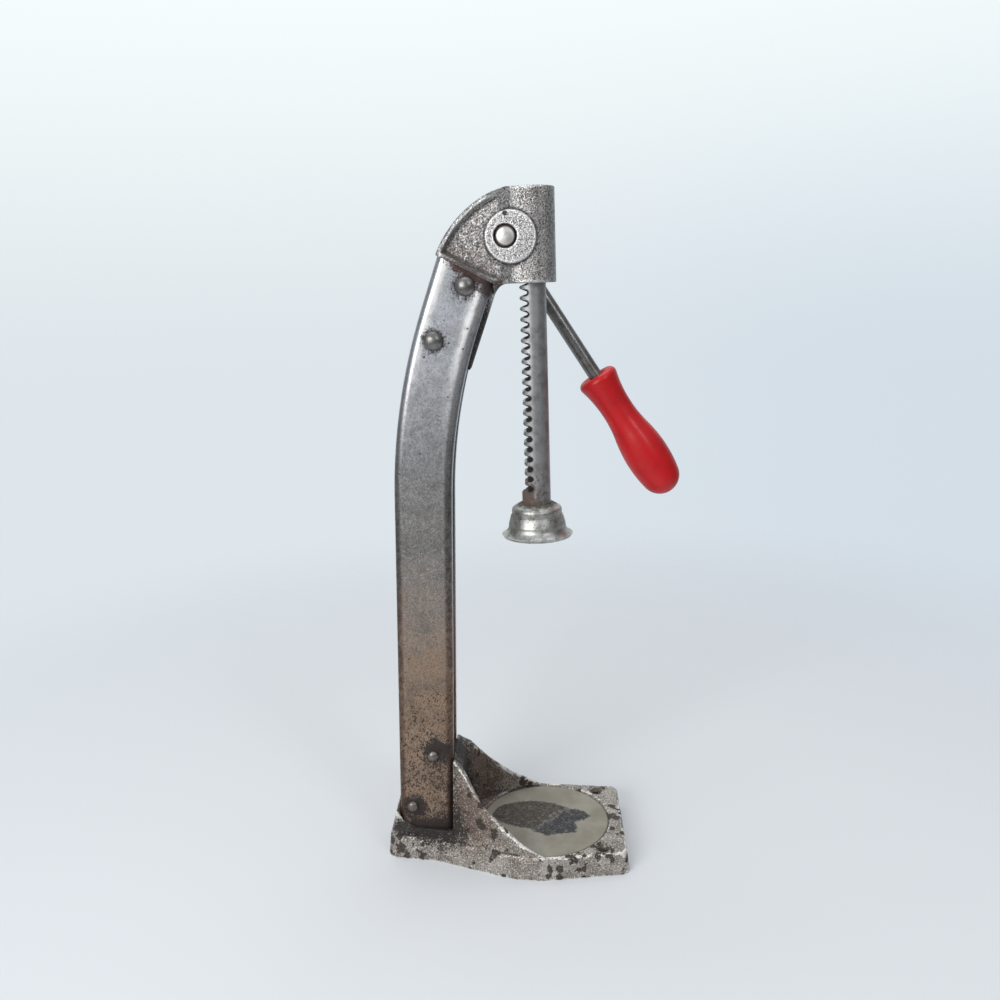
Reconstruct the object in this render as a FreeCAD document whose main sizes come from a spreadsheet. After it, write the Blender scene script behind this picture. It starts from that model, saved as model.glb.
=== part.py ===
"""Bench bottle capper: a cast foot, a curved steel channel, and a cast head with a hand-cranked rack plunger.

The origin lies on the plunger's axis at the underside of the foot. X points from the column to the bottle,
Y to the lever's side and Z up. Lengths are millimetres and angles are degrees.
"""
import FreeCAD, Part
import math
import os

import Sketcher

V = FreeCAD.Vector
X_AXIS = V(1, 0, 0)
Y_AXIS = V(0, 1, 0)
Z_AXIS = V(0, 0, 1)

doc = FreeCAD.newDocument("BottleCapper")
sheet = doc.addObject("Spreadsheet::Sheet", "Sizes")

# Driving sizes: alias, value, what it is
DRIVING = [
    ("plate_height", 15.0, "foot plate, thickness at its edge"),
    ("plate_rear", 106.4, "foot plate, rear edge behind the plunger axis"),
    ("plate_front", 54.0, "foot plate, front edge ahead of the plunger axis"),
    ("plate_rear_half", 20.0, "foot plate, half width at the rear edge"),
    ("plate_waist_x", 72.0, "foot plate, where its sides start to flare"),
    ("plate_waist_half", 25.8, "foot plate, half width at the waist"),
    ("plate_shoulder_x", 13.0, "foot plate, widest place behind the axis"),
    ("plate_shoulder_half", 49.6, "foot plate, half width before its shoulder is rounded"),
    ("plate_front_half", 42.0, "foot plate, half width at the front edge"),
    ("plate_draft", 6.0, "foot plate, draft angle of its sides"),
    ("rear_corner_r", 7.0, "foot plate, rear corner radius"),
    ("waist_r", 45.0, "foot plate, waist radius"),
    ("shoulder_r", 75.0, "foot plate, shoulder radius"),
    ("front_corner_r", 5.0, "foot plate, front corner radius"),
    ("plate_edge_r", 1.6, "foot plate, rounding of its top edge"),
    ("plate_wall", 5.5, "foot plate, wall round the hollow underside"),
    ("plate_hollow", 8.0, "foot plate, depth of the hollow underside"),
    ("plate_rib", 5.0, "foot plate, rib thickness in the hollow"),
    ("origin_boss_r", 10.0, "foot plate, boss radius where its ribs cross"),
    ("seat_r", 43.9, "seat recess radius"),
    ("seat_depth", 1.8, "seat recess depth"),
    ("pad_gap", 0.9, "seat pad, ring gap round it"),
    ("pad_thick", 1.0, "seat pad thickness"),
    ("pad_edge_r", 0.3, "seat pad, edge rounding"),
    ("screw_x", 37.2, "bench screw holes, distance ahead of the axis"),
    ("screw_half", 34.8, "bench screw holes, half their spacing"),
    ("screw_hole_r", 2.75, "bench screw holes, radius"),
    ("screw_sink", 2.0, "bench screw holes, countersink depth"),
    ("screw_boss_r", 7.5, "bench screw holes, boss radius in the hollow"),
    ("collar_rear", 36.0, "column collar, height at the back"),
    ("collar_side", 27.0, "column collar, height at the column's rear corners"),
    ("collar_fall", 21.5, "column collar, height beside the column"),
    ("collar_ahead", 20.0, "column collar, height at its front"),
    ("collar_wall", 1.0, "column collar, wall at its top"),
    ("collar_foot", 5.5, "column collar, spread of its foot behind the column"),
    ("web_height", 73.5, "webs, height at the column"),
    ("web_start", 62.5, "webs, rear end of their top edge behind the axis"),
    ("web_knee_x", 50.5, "webs, where the top edge starts to curve behind the axis"),
    ("web_knee_z", 61.0, "webs, height where the top edge starts to curve"),
    ("web_sweep_r", 110.5, "webs, radius of the swept edge"),
    ("web_sweep_end", 1.0, "webs, where the swept edge meets the plate behind the axis"),
    ("web_wall", 4.6, "webs, wall thickness"),
    ("web_root_half", 24.6, "webs, half width at the column's foot"),
    ("web_flare_x", 58.5, "webs, where they flare at their foot behind the axis"),
    ("web_flare_half", 27.2, "webs, half width at that place"),
    ("web_bend_x", 42.0, "webs, bend of their foot behind the axis"),
    ("web_bend_half", 36.6, "webs, half width at the bend of their foot"),
    ("web_bow_x", 14.0, "webs, bow of their foot behind the axis"),
    ("web_bow_half", 44.8, "webs, half width at the bow of their foot"),
    ("web_end_half", 46.0, "webs, half width at their front end"),
    ("web_high_half", 19.9, "webs, half width of their top by the column"),
    ("web_high_bend_x", 46.0, "webs, bend of their top behind the axis"),
    ("web_high_bend_half", 28.5, "webs, half width at the bend of their top"),
    ("web_high_bow_x", 20.0, "webs, bow of their top behind the axis"),
    ("web_high_bow_half", 39.5, "webs, half width at the bow of their top"),
    ("web_high_end_x", 8.0, "webs, front end of their top behind the axis"),
    ("web_high_end_half", 42.0, "webs, half width at the front end of their top"),
    ("bowl_rear", 53.8, "bowl between the webs, its rear behind the axis"),
    ("hollow_back", 14.0, "hollow underside, corner behind the shoulder"),
    ("hollow_back_in", 11.5, "hollow underside, that corner inside the shoulder"),
    ("hollow_ahead", 12.0, "hollow underside, corner ahead of the shoulder"),
    ("hollow_ahead_in", 8.1, "hollow underside, that corner inside the shoulder"),
    ("column_lean", 2.35, "column, forward lean of its straight part"),
    ("column_bend_r", 357.0, "column, bend radius of its centre line"),
    ("column_tilt", 20.3, "column, forward tilt at its top"),
    ("column_depth", 35.7, "column, front to back"),
    ("column_width", 36.0, "column, side to side"),
    ("column_sheet", 2.5, "column, sheet thickness"),
    ("column_corner_r", 5.0, "column, outer corner radius"),
    ("column_slot", 16.0, "column, width of the open front between its lips"),
    ("seam_x", 51.6, "joint of head and column, a point on it behind the axis"),
    ("seam_drop", 38.9, "joint of head and column, drop of that point below the head's top"),
    ("seam_to_middle", 14.91, "joint of head and column, from that point forward to the column's middle"),
    ("column_top_run", 31.14, "column, straight run from its bend up to that point"),
    ("seam_slope", 27.9, "joint of head and column, slope down to the front"),
    ("stub_height", 95.0, "foot casting, height of the stub in the channel"),
    ("cast_fit", 0.15, "clearance of castings in and round the channel"),
    ("core_bevel", 2.3, "bevel of the castings inside the channel's corners"),
    ("base_rivet_r", 2.75, "lower rivets, shank radius"),
    ("base_dome_r", 3.9, "lower rivets, head radius"),
    ("base_dome", 2.6, "lower rivets, head height"),
    ("base_rivet_low_x", 88.0, "lowest rivet behind the axis"),
    ("base_rivet_low_z", 36.5, "lowest rivet, height"),
    ("base_rivet_high_x", 72.6, "second rivet behind the axis"),
    ("base_rivet_high_z", 73.0, "second rivet, height"),
    ("head_rivet_r", 3.5, "upper rivets, shank radius"),
    ("head_dome_r", 6.0, "upper rivets, head radius"),
    ("head_dome", 4.2, "upper rivets, head height"),
    ("head_rivet_low_x", 58.6, "third rivet behind the axis"),
    ("head_rivet_low_drop", 86.1, "third rivet, drop below the head's top"),
    ("head_rivet_high_x", 38.4, "top rivet behind the axis"),
    ("head_rivet_high_drop", 55.2, "top rivet, drop below the head's top"),
    ("rivet_fit", 0.05, "rivets, radial clearance in their holes"),
    ("head_top", 428.8, "head, top of the guide housing"),
    ("housing_length", 54.8, "head, length of the guide housing"),
    ("housing_r", 15.3, "head, guide housing radius"),
    ("head_half", 18.8, "head, half width over the rim"),
    ("head_arc_r", 66.4, "head, radius of its back"),
    ("head_arc_x", 5.9, "head, centre of its back ahead of the axis"),
    ("head_arc_drop", 63.7, "head, centre of its back, drop below its top"),
    ("head_seam_back", 55.0, "head, rear end of the seam behind the axis"),
    ("head_seam_front", 22.2, "head, front end of the seam behind the axis"),
    ("rim_width", 2.3, "head, width of the raised rim"),
    ("panel_half", 14.8, "head, half width over the sunk panels"),
    ("panel_draft", 24.0, "head, draft of the panel walls"),
    ("taper_start", 24.0, "head, where it narrows towards the housing behind the axis"),
    ("taper_end", 9.6, "head, where it meets the housing behind the axis"),
    ("taper_half", 10.2, "head, half width where it meets the housing"),
    ("throat_r", 8.0, "head, radius under the housing"),
    ("shank_end_x", 38.2, "head shank, front lower corner behind the axis"),
    ("shank_drop", 105.0, "head shank, drop of that corner below the head's top"),
    ("shank_back", 1.3, "head shank, clearance to the back of the channel"),
    ("boss_x", 11.0, "near boss, centre behind the axis"),
    ("boss_drop", 28.2, "near boss, drop of its centre below the head's top"),
    ("boss_r", 15.0, "bosses, radius of the near face"),
    ("boss_half", 17.0, "bosses, distance of their faces from the middle"),
    ("boss_flare", 1.4, "bosses, growth of the radius towards the head"),
    ("far_boss_r", 16.4, "far boss, radius of its face"),
    ("boss_edge_r", 0.6, "bosses and housing, edge rounding"),
    ("shaft_drop", 27.8, "pinion shaft, drop below the head's top"),
    ("journal_r", 5.7, "pinion shaft, journal radius"),
    ("journal_fit", 0.05, "pinion shaft, radial running clearance"),
    ("shaft_proud", 0.5, "pinion shaft, how far it stands out of the near boss"),
    ("shaft_dome", 0.7, "pinion shaft, dome of its near end"),
    ("bush_wall", 1.0, "near bush, wall"),
    ("bush_sunk", 2.0, "near bush, how far it lies below the boss face"),
    ("bush_fit", 0.03, "bushes, radial clearance in the head"),
    ("flange_r", 13.6, "far bush, flange radius"),
    ("flange_thick", 2.0, "far bush, flange thickness"),
    ("pinion_width", 16.8, "pinion, face width"),
    ("pinion_play", 0.3, "pinion, end play on each side"),
    ("rod_r", 9.0, "plunger rod radius"),
    ("rod_fit", 0.06, "plunger rod, radial clearance in the head"),
    ("rod_drop", 3.8, "plunger rod, drop of its top below the head's top at rest"),
    ("rod_flat", 2.0, "plunger rod, depth of the flat behind"),
    ("rod_chamfer", 0.8, "plunger rod, chamfer at the top"),
    ("flat_above", 4.9, "plunger rod, flat above the rack's uppermost gap"),
    ("flat_below", 2.46, "plunger rod, flat below the rack's lowest gap"),
    ("flat_runout", 1.4, "plunger rod, rise of the flat's ends"),
    ("tooth_module", 2.0, "rack and pinion, module"),
    ("pressure_angle", 20.0, "rack and pinion, pressure angle"),
    ("pinion_teeth", 8.0, "pinion, number of teeth"),
    ("pinion_shift", 0.5, "pinion, profile shift in modules"),
    ("pinion_add", 2.6, "pinion, tip height over the pitch circle"),
    ("pinion_root_r", 6.6, "pinion, root radius"),
    ("rack_add", 1.9, "rack, tooth height outside its reference line"),
    ("rack_ded", 2.6, "rack, depth inside its reference line"),
    ("rack_backlash", 0.2, "rack, thinning of its teeth"),
    ("rack_round", 0.6, "rack, rounding of the tooth tips"),
    ("rack_rise", 5.13, "rack, its uppermost gap above the shaft at rest"),
    ("rack_gaps", 26.0, "rack, number of gaps"),
    ("bell_top", 238.5, "bell, top face, which is the foot of the rod"),
    ("bell_sheet", 1.6, "bell, sheet thickness"),
    ("bell_shoulder_r", 15.8, "bell, radius under the shoulder"),
    ("bell_shoulder", 4.5, "bell, depth of its shoulder below the top"),
    ("bell_flat_r", 11.0, "bell, radius of the flat top"),
    ("bell_slope_r", 14.3, "bell, radius at the end of the sloping top"),
    ("bell_slope_drop", 1.9, "bell, fall of the sloping top"),
    ("bell_shoulder_curve", 2.6, "bell, rounding of the shoulder"),
    ("bell_crease", 7.0, "bell, depth of the crease below the top"),
    ("bell_crease_step", 0.7, "bell, step at the crease"),
    ("bell_skirt_r", 18.1, "bell, radius at the end of the skirt"),
    ("bell_skirt", 13.8, "bell, depth of the skirt below the top"),
    ("bell_rim_r", 22.5, "bell, rim radius"),
    ("bell_height", 21.0, "bell, whole height"),
    ("bell_flare_r", 6.2, "bell, radius of the flare"),
    ("bell_screw_r", 2.5, "bell screw, shank radius"),
    ("bell_screw_length", 8.5, "bell screw, length under its head"),
    ("bell_screw_head_r", 4.6, "bell screw, head radius"),
    ("bell_screw_head", 2.8, "bell screw, head height"),
    ("screw_slot", 1.2, "bell screw, slot width and depth"),
    ("screw_fit", 0.1, "bell screw, radial clearance"),
    ("bell_washer_r", 8.0, "bell washer, radius"),
    ("bell_washer_thick", 1.2, "bell washer, thickness"),
    ("washer_r", 9.2, "thrust washer, radius"),
    ("washer_thick", 1.2, "thrust washer, thickness"),
    ("washer_gap", 0.1, "thrust washer, gap on each side"),
    ("hub_r", 10.5, "lever hub, radius"),
    ("hub_chamfer", 1.0, "lever hub, chamfer"),
    ("hub_end", 7.0, "lever hub, length beyond the lever's middle"),
    ("lever_y", 35.0, "lever, distance of its middle from the middle of the head"),
    ("lever_angle", 58.0, "lever, angle below the horizontal at rest"),
    ("lever_rod_r", 4.5, "lever rod, radius"),
    ("lever_fit", 0.05, "lever parts, radial clearance"),
    ("shaft_cover", 0.4, "lever hub, wall between the shaft's end and the lever rod"),
    ("hub_pin_r", 1.8, "hub pin, radius"),
    ("hub_pin_y", 25.2, "hub pin, distance from the middle of the head"),
    ("hub_pin_proud", 0.6, "hub pin, how far it stands out of the hub"),
    ("nut_flats", 14.0, "lever nut, width across flats"),
    ("nut_thick", 6.0, "lever nut, thickness"),
    ("nut_gap", 0.1, "lever nut, gap to the hub"),
    ("grip_start", 102.5, "grip, distance of its top from the shaft"),
    ("grip_length", 91.9, "grip, length"),
    ("grip_bore", 60.0, "grip, depth of its bore"),
    ("grip_dish", 3.0, "grip, depth of the dished top"),
    ("grip_dish_r", 6.0, "grip, radius of the dish's floor"),
    ("grip_lip_r", 10.7, "grip, radius of the lip"),
    ("grip_bead_r", 4.0, "grip, rounding of the bead below the lip"),
    ("grip_flare_r", 13.05, "grip, radius at the end of the bead"),
    ("grip_flare", 4.8, "grip, end of the bead below the lip"),
    ("grip_neck_curve", 84.0, "grip, radius of the hollow neck line"),
    ("grip_neck_end", 44.0, "grip, end of the neck line"),
    ("grip_neck_end_r", 12.2, "grip, radius at the end of the neck line"),
    ("grip_belly_curve", 91.0, "grip, radius of the belly line"),
    ("grip_belly_end", 81.4, "grip, end of the belly line"),
    ("grip_belly_end_r", 12.7, "grip, radius at the end of the belly line"),
]

SPAN = 400.0
row = 0


class Size:
    """A number together with the sheet formula that gives it. An @ marks an alias of the sheet."""

    def __init__(self, value, text, rank=3):
        self.value = value
        self.text = text
        self.rank = rank

    @property
    def formula(self):
        return self.text.replace("@", "Sizes.")

    def __add__(self, other):
        return join(self, "+", other)

    def __radd__(self, other):
        return join(other, "+", self)

    def __sub__(self, other):
        return join(self, "-", other)

    def __rsub__(self, other):
        return join(other, "-", self)

    def __mul__(self, other):
        return join(self, "*", other)

    def __rmul__(self, other):
        return join(other, "*", self)

    def __truediv__(self, other):
        return join(self, "/", other)

    def __rtruediv__(self, other):
        return join(other, "/", self)

    def __neg__(self):
        return join(0.0, "-", self)


# Each sign: the sum or quotient, the rank of the result, and the lowest ranks that need no brackets
SIGNS = {
    "+": (lambda left, right: left + right, 1, 1, 1),
    "-": (lambda left, right: left - right, 1, 1, 2),
    "*": (lambda left, right: left * right, 2, 2, 2),
    "/": (lambda left, right: left / right, 2, 2, 3),
}


def as_size(item):
    if isinstance(item, Size):
        return item
    return Size(float(item), f"{float(item):.9g}", 3 if item >= 0 else 1)


def bracketed(size, rank):
    return size.text if size.rank >= rank else f"({size.text})"


def join(left, sign, right):
    left, right = as_size(left), as_size(right)
    work, rank, left_rank, right_rank = SIGNS[sign]
    text = f"{bracketed(left, left_rank)} {sign} {bracketed(right, right_rank)}"
    return Size(work(left.value, right.value), text, rank)


def cosine(angle):
    return Size(math.cos(math.radians(angle.value)), f"cos({angle.text})")


def sine(angle):
    return Size(math.sin(math.radians(angle.value)), f"sin({angle.text})")


def tangent(angle):
    return Size(math.tan(math.radians(angle.value)), f"tan({angle.text})")


def root(number):
    return Size(math.sqrt(number.value), f"sqrt({number.text})")


def cell(alias, content, note, value):
    """Write one row of the sheet and return it as a size."""
    global row
    row += 1
    sheet.set(f"A{row}", alias)
    sheet.set(f"B{row}", content)
    sheet.setAlias(f"B{row}", alias)
    sheet.set(f"C{row}", note)
    return Size(value, "@" + alias)


def derived(alias, size, note=""):
    """Keep a worked-out size in the sheet, so that formulas stay short."""
    return cell(alias, "=" + size.text.replace("@", ""), note, size.value)


S = {alias: cell(alias, f"{value}", note, value) for alias, value, note in DRIVING}
DROPS = {
    "head_bottom": "housing_length", "head_arc_z": "head_arc_drop", "seam_z": "seam_drop", "shaft_z": "shaft_drop",
    "boss_z": "boss_drop", "head_rivet_low_z": "head_rivet_low_drop", "head_rivet_high_z": "head_rivet_high_drop",
    "shank_end_z": "shank_drop", "rod_top": "rod_drop",
}
for alias, drop in DROPS.items():
    S[alias] = derived(alias, S["head_top"] - S[drop], "height of what the drop above measures")
doc.recompute()
failures = []
features = []


def bind(item, path, size):
    item.setExpression(path, as_size(size).formula)


def new_body(name):
    body = doc.addObject("PartDesign::Body", name)
    body.Label = name
    return body


def sketch_on(body, role, name, offset=None):
    """A sketch on one of the body's own origin planes, moved along its normal by the offset."""
    sketch = body.newObject("Sketcher::SketchObject", name)
    plane = [item for item in body.Origin.OriginFeatures if item.Role == role][0]
    sketch.AttachmentSupport = [(plane, "")]
    sketch.MapMode = "FlatFace"
    if offset is not None:
        bind(sketch, "AttachmentOffset.Base.z", offset)
    return sketch


def free_sketch(name, upright=True):
    """A sketch outside a body, in the XZ plane (normal to -Y) if upright, or in the XY plane."""
    sketch = doc.addObject("Sketcher::SketchObject", name)
    if upright:
        sketch.Placement = FreeCAD.Placement(V(0, 0, 0), FreeCAD.Rotation(X_AXIS, 90))
    return sketch


def pin(sketch, index, position, x, y):
    """Hold one point of the sketch at bound coordinates."""
    for kind, size, letter in (("DistanceX", as_size(x), "x"), ("DistanceY", as_size(y), "y")):
        number = sketch.addConstraint(Sketcher.Constraint(kind, index, position, size.value))
        sketch.renameConstraint(number, f"{letter}{number}")
        if "@" in size.text:
            bind(sketch, f"Constraints.{letter}{number}", size)


def measure(sketch, kind, index, size):
    """Give a circle or an arc a bound radius."""
    number = sketch.addConstraint(Sketcher.Constraint(kind, index, as_size(size).value))
    sketch.renameConstraint(number, f"r{number}")
    bind(sketch, f"Constraints.r{number}", size)


def arc_between(start, end, radius):
    """The short arc from start to end, counter-clockwise for a positive radius."""
    chord = end - start
    side = 1.0 if radius > 0 else -1.0
    height = math.sqrt(max(radius * radius - chord.Length * chord.Length / 4.0, 0.0))
    normal = V(-chord.y, chord.x, 0) / chord.Length
    centre = (start + end) / 2.0 + normal * (side * height)
    first, last = (start, end) if side > 0 else (end, start)
    angles = [math.atan2(point.y - centre.y, point.x - centre.x) for point in (first, last)]
    if angles[1] < angles[0]:
        angles[1] += 2.0 * math.pi
    return Part.ArcOfCircle(Part.Circle(centre, Z_AXIS, abs(radius)), angles[0], angles[1])


def loop(sketch, corners, closed=True):
    """Draw a chain of edges. A corner is (x, y), or (x, y, radius) where an arc leaves it."""
    base = sketch.GeometryCount
    points = [V(as_size(c[0]).value, as_size(c[1]).value, 0) for c in corners]
    count = len(corners) if closed else len(corners) - 1
    ends = []
    for i in range(count):
        start, end = points[i], points[(i + 1) % len(points)]
        if len(corners[i]) > 2:
            radius = as_size(corners[i][2])
            index = sketch.addGeometry(arc_between(start, end, radius.value), False)
            ends.append((index, 1, 2) if radius.value > 0 else (index, 2, 1))
        else:
            index = sketch.addGeometry(Part.LineSegment(start, end), False)
            ends.append((index, 1, 2))
    for i in range(count if closed else count - 1):
        following = ends[(i + 1) % count]
        sketch.addConstraint(Sketcher.Constraint("Coincident", ends[i][0], ends[i][2], following[0], following[1]))
    for i in range(count):
        pin(sketch, ends[i][0], ends[i][1], corners[i][0], corners[i][1])
        if len(corners[i]) > 2:
            radius = as_size(corners[i][2])
            measure(sketch, "Radius", ends[i][0], radius if radius.value > 0 else -radius)
    if not closed:
        pin(sketch, ends[-1][0], ends[-1][2], corners[-1][0], corners[-1][1])
    return base


def ring(sketch, x, y, radius):
    """Draw a circle with a bound centre and radius."""
    circle = Part.Circle(V(as_size(x).value, as_size(y).value, 0), Z_AXIS, as_size(radius).value)
    index = sketch.addGeometry(circle, False)
    pin(sketch, index, 3, x, y)
    measure(sketch, "Radius", index, radius)


def mirrored_corners(corners):
    """The corners with y above zero, followed by their mirror images in the opposite order."""
    return list(corners) + [(x, -y) for x, y in reversed(corners)]


def settle(feature, body=None):
    """Recompute, and note a feature that failed."""
    doc.recompute()
    bad = [word for word in feature.State if word in ("Invalid", "Error")]
    if bad or feature.Shape.isNull() or not feature.Shape.isValid():
        failures.append(feature.Name)
    features.append(feature.Name)
    if body is not None:
        body.Tip = feature
    return feature


def extrude(body, kind, name, sketch, length=None, symmetric=False, reverse=False, draft=None):
    """Add a pad or a pocket. A pocket must remove material."""
    before = body.Shape.Volume if kind == "Pocket" else 0.0
    feature = body.newObject("PartDesign::" + kind, name)
    feature.Profile = sketch
    feature.Reversed = reverse
    if symmetric:
        feature.SideType = "Symmetric"
    if length is None:
        feature.Length = SPAN
    else:
        bind(feature, "Length", length)
    if draft is not None:
        bind(feature, "TaperAngle", draft)
    settle(feature, body)
    if kind == "Pocket" and (feature.Shape.isNull() or feature.Shape.Volume > before - 1e-6):
        failures.append(name + " cut nothing")
    return feature


def pad(body, name, sketch, length, **options):
    return extrude(body, "Pad", name, sketch, length, **options)


def pocket(body, name, sketch, length=None, **options):
    return extrude(body, "Pocket", name, sketch, length, **options)


def revolve(body, name, sketch, kind="Revolution"):
    """Turn the sketch about its vertical axis."""
    feature = body.newObject("PartDesign::" + kind, name)
    feature.Profile = sketch
    feature.ReferenceAxis = (sketch, ["V_Axis"])
    feature.Angle = 360.0
    return settle(feature, body)


def edge_names(shape, test):
    return [f"Edge{i}" for i, edge in enumerate(shape.Edges, 1) if test(edge)]


def dress(body, kind, name, test, size):
    """Fillet or chamfer the edges of the body that pass the test."""
    last = body.Tip
    names = edge_names(last.Shape, test)
    if not names:
        failures.append(name + " found no edge")
    feature = body.newObject("PartDesign::" + kind, name)
    feature.Base = (last, names)
    bind(feature, "Radius" if kind == "Fillet" else "Size", size)
    return settle(feature, body)


def is_circle(edge, radius):
    return isinstance(edge.Curve, Part.Circle) and abs(edge.Curve.Radius - radius.value) < 1e-4


def near_point(x, y, reach=4.0):
    """A test for upright edges whose middle lies near a place in plan."""
    def test(edge):
        box = edge.BoundBox
        middle = box.Center
        return box.ZLength > 8.0 and math.hypot(middle.x - x.value, middle.y - y.value) < reach
    return test


# Worked-out places

lean, tilt = S["column_lean"], S["column_tilt"]
bend_end_x = derived("bend_end_x", S["seam_to_middle"] * cosine(tilt) - S["seam_x"] - S["column_top_run"] * sine(tilt),
                     "column, end of the bend")
bend_end_z = derived("bend_end_z", S["seam_z"] - S["seam_to_middle"] * sine(tilt) - S["column_top_run"] * cosine(tilt),
                     "column, end of the bend")
bend_cx = derived("bend_cx", bend_end_x + S["column_bend_r"] * cosine(tilt), "column, centre of the bend")
bend_cz = derived("bend_cz", bend_end_z - S["column_bend_r"] * sine(tilt), "column, centre of the bend")
bend_x = derived("bend_x", bend_cx - S["column_bend_r"] * cosine(lean), "column, start of the bend")
bend_z = derived("bend_z", bend_cz + S["column_bend_r"] * sine(lean), "column, start of the bend")
foot_x = derived("column_foot_x", bend_z * tangent(lean) - bend_x, "column, its middle at the base behind the axis")
half_depth = derived("half_depth", S["column_depth"] / 2.0)
half_width = derived("half_width", S["column_width"] / 2.0)
pitch_r = derived("pitch_r", S["pinion_teeth"] * S["tooth_module"] / 2.0, "pinion, pitch radius")
rack_line = derived("rack_line", S["rod_r"] - S["rod_flat"] - S["rack_add"], "rack line behind the axis")
shaft_x = derived("shaft_x", -(rack_line + pitch_r + S["pinion_shift"] * S["tooth_module"]), "pinion shaft, place")
pinion_tip_r = derived("pinion_tip_r", pitch_r + S["pinion_add"], "pinion, tip radius")
cavity_half = derived("cavity_half", S["pinion_width"] / 2.0 + S["pinion_play"], "pinion space, half width")
far_bore_r = derived("far_bore_r", pinion_tip_r + 0.4, "far bore, through which the pinion goes in")
near_bore_r = derived("near_bore_r", S["journal_r"] + S["journal_fit"] + S["bush_wall"], "near bore")


def column_x(z, offset):
    """Where a line of the column's straight part, offset forward from its centre, crosses a height."""
    return z * tangent(lean) - foot_x + offset / cosine(lean)


def seam_at(x):
    """Height of the seam at a place."""
    return S["seam_z"] - (x + S["seam_x"]) * tangent(S["seam_slope"])


def along_tilt(x, z, forward, up):
    """A point moved forward square to the head's shank and up along it."""
    forward, up = as_size(forward), as_size(up)
    return (x + forward * cosine(tilt) + up * sine(tilt), z - forward * sine(tilt) + up * cosine(tilt))


def cap_curve(alias, radius, height, note):
    """The radius of a round cap of a given foot radius and height."""
    return derived(alias, (radius * radius + height * height) / (2.0 * height), note)


def on_back_arc(alias, radius, x, note):
    """Height of an arc about the centre of the head's back at a place."""
    return derived(alias, S["head_arc_z"] + root(radius * radius - (x - S["head_arc_x"]) * (x - S["head_arc_x"])), note)


collar_back = derived("collar_back_x", column_x(S["plate_height"], -half_depth), "column's back at the plate")
collar_front = derived("collar_front_x", column_x(S["plate_height"], half_depth) + 1.0, "collar's front")
dome_curve = {kind: cap_curve(kind + "_dome_curve", S[kind + "_dome_r"], S[kind + "_dome"], "rivet heads, radius")
              for kind in ("base", "head")}
grip_cap_curve = cap_curve("grip_cap_curve", S["grip_belly_end_r"], S["grip_length"] - S["grip_belly_end"],
                           "grip, radius of its round end")
back_x, front_x = -S["head_seam_back"], -S["head_seam_front"]
arc_rise = derived("head_arc_rise", S["head_top"] - S["head_arc_z"], "head, its flat top over the arc's centre")
arc_end = derived("head_arc_end_x", S["head_arc_x"] - root(S["head_arc_r"] * S["head_arc_r"] - arc_rise * arc_rise),
                  "head, where its back meets the flat top")
throat_x = derived("throat_x", (S["head_bottom"] - S["shank_end_z"]) * tangent(tilt) - S["shank_end_x"],
                   "head, sharp corner under the housing")
throat_setback = derived("throat_setback", S["throat_r"] * tangent((90.0 - tilt) / 2.0), "head, length of the throat")
inner_r = S["head_arc_r"] - S["rim_width"]
window_x = derived("window_x", back_x + 1.32 * S["rim_width"], "panel, rear corner")
window_z = on_back_arc("window_z", inner_r, window_x, "panel, rear corner")
window_end_x = derived("window_end_x", arc_end + 1.0, "panel, front end of its arc")
window_end_z = on_back_arc("window_end_z", inner_r, window_end_x, "panel, front end of its arc")
shank_to_axis = derived("shank_to_axis", (bend_end_x + S["shank_end_x"]) * cosine(tilt)
                        - (bend_end_z - S["shank_end_z"]) * sine(tilt), "shank's front to the channel's middle")
seam_cover = S["rim_width"] / 2.0
seam_fall = cosine(tilt) + sine(tilt) * tangent(S["seam_slope"])
core_front = derived("core_front", shank_to_axis + half_depth - S["column_sheet"] - S["cast_fit"],
                     "shank in the channel, its front")
core_back = derived("core_back", shank_to_axis - half_depth + S["column_sheet"] + S["shank_back"],
                    "shank in the channel, its back")


def rise_to_seam(alias, forward):
    """How far up the tilt a line of the shank enters the head's rim."""
    x, z = along_tilt(-S["shank_end_x"], S["shank_end_z"], forward, 0.0)
    return derived(alias, (seam_at(x) + seam_cover - z) / seam_fall, "shank, rise to the seam")


front_rise = rise_to_seam("front_rise", core_front)
back_rise = rise_to_seam("back_rise", core_back)
rack_top = derived("rack_top_z", S["shaft_z"] + S["rack_rise"], "rack, height of its uppermost gap at rest")
rack_length = derived("rack_length", (S["rack_gaps"] - 1.0) * S["tooth_module"] * math.pi, "rack, first to last gap")
flat_top = derived("flat_top", rack_top + S["flat_above"], "plunger rod, upper end of the flat")
flat_bottom = derived("flat_bottom", rack_top - rack_length - S["flat_below"], "plunger rod, lower end of the flat")


RIVETS = {
    "base_rivet_lower": (-S["base_rivet_low_x"], S["base_rivet_low_z"], "base"),
    "base_rivet_upper": (-S["base_rivet_high_x"], S["base_rivet_high_z"], "base"),
    "head_rivet_lower": (-S["head_rivet_low_x"], S["head_rivet_low_z"], "head"),
    "head_rivet_upper": (-S["head_rivet_high_x"], S["head_rivet_high_z"], "head"),
}


def rivet_holes(sketch, place):
    """Circles for the rivets that pass one casting, or all of them."""
    for x, z, kind in RIVETS.values():
        if place in (kind, "both"):
            ring(sketch, x, z, S[kind + "_rivet_r"] + S["rivet_fit"])


# Foot casting: drafted plate, collar, webs, stub and hollow underside

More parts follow.
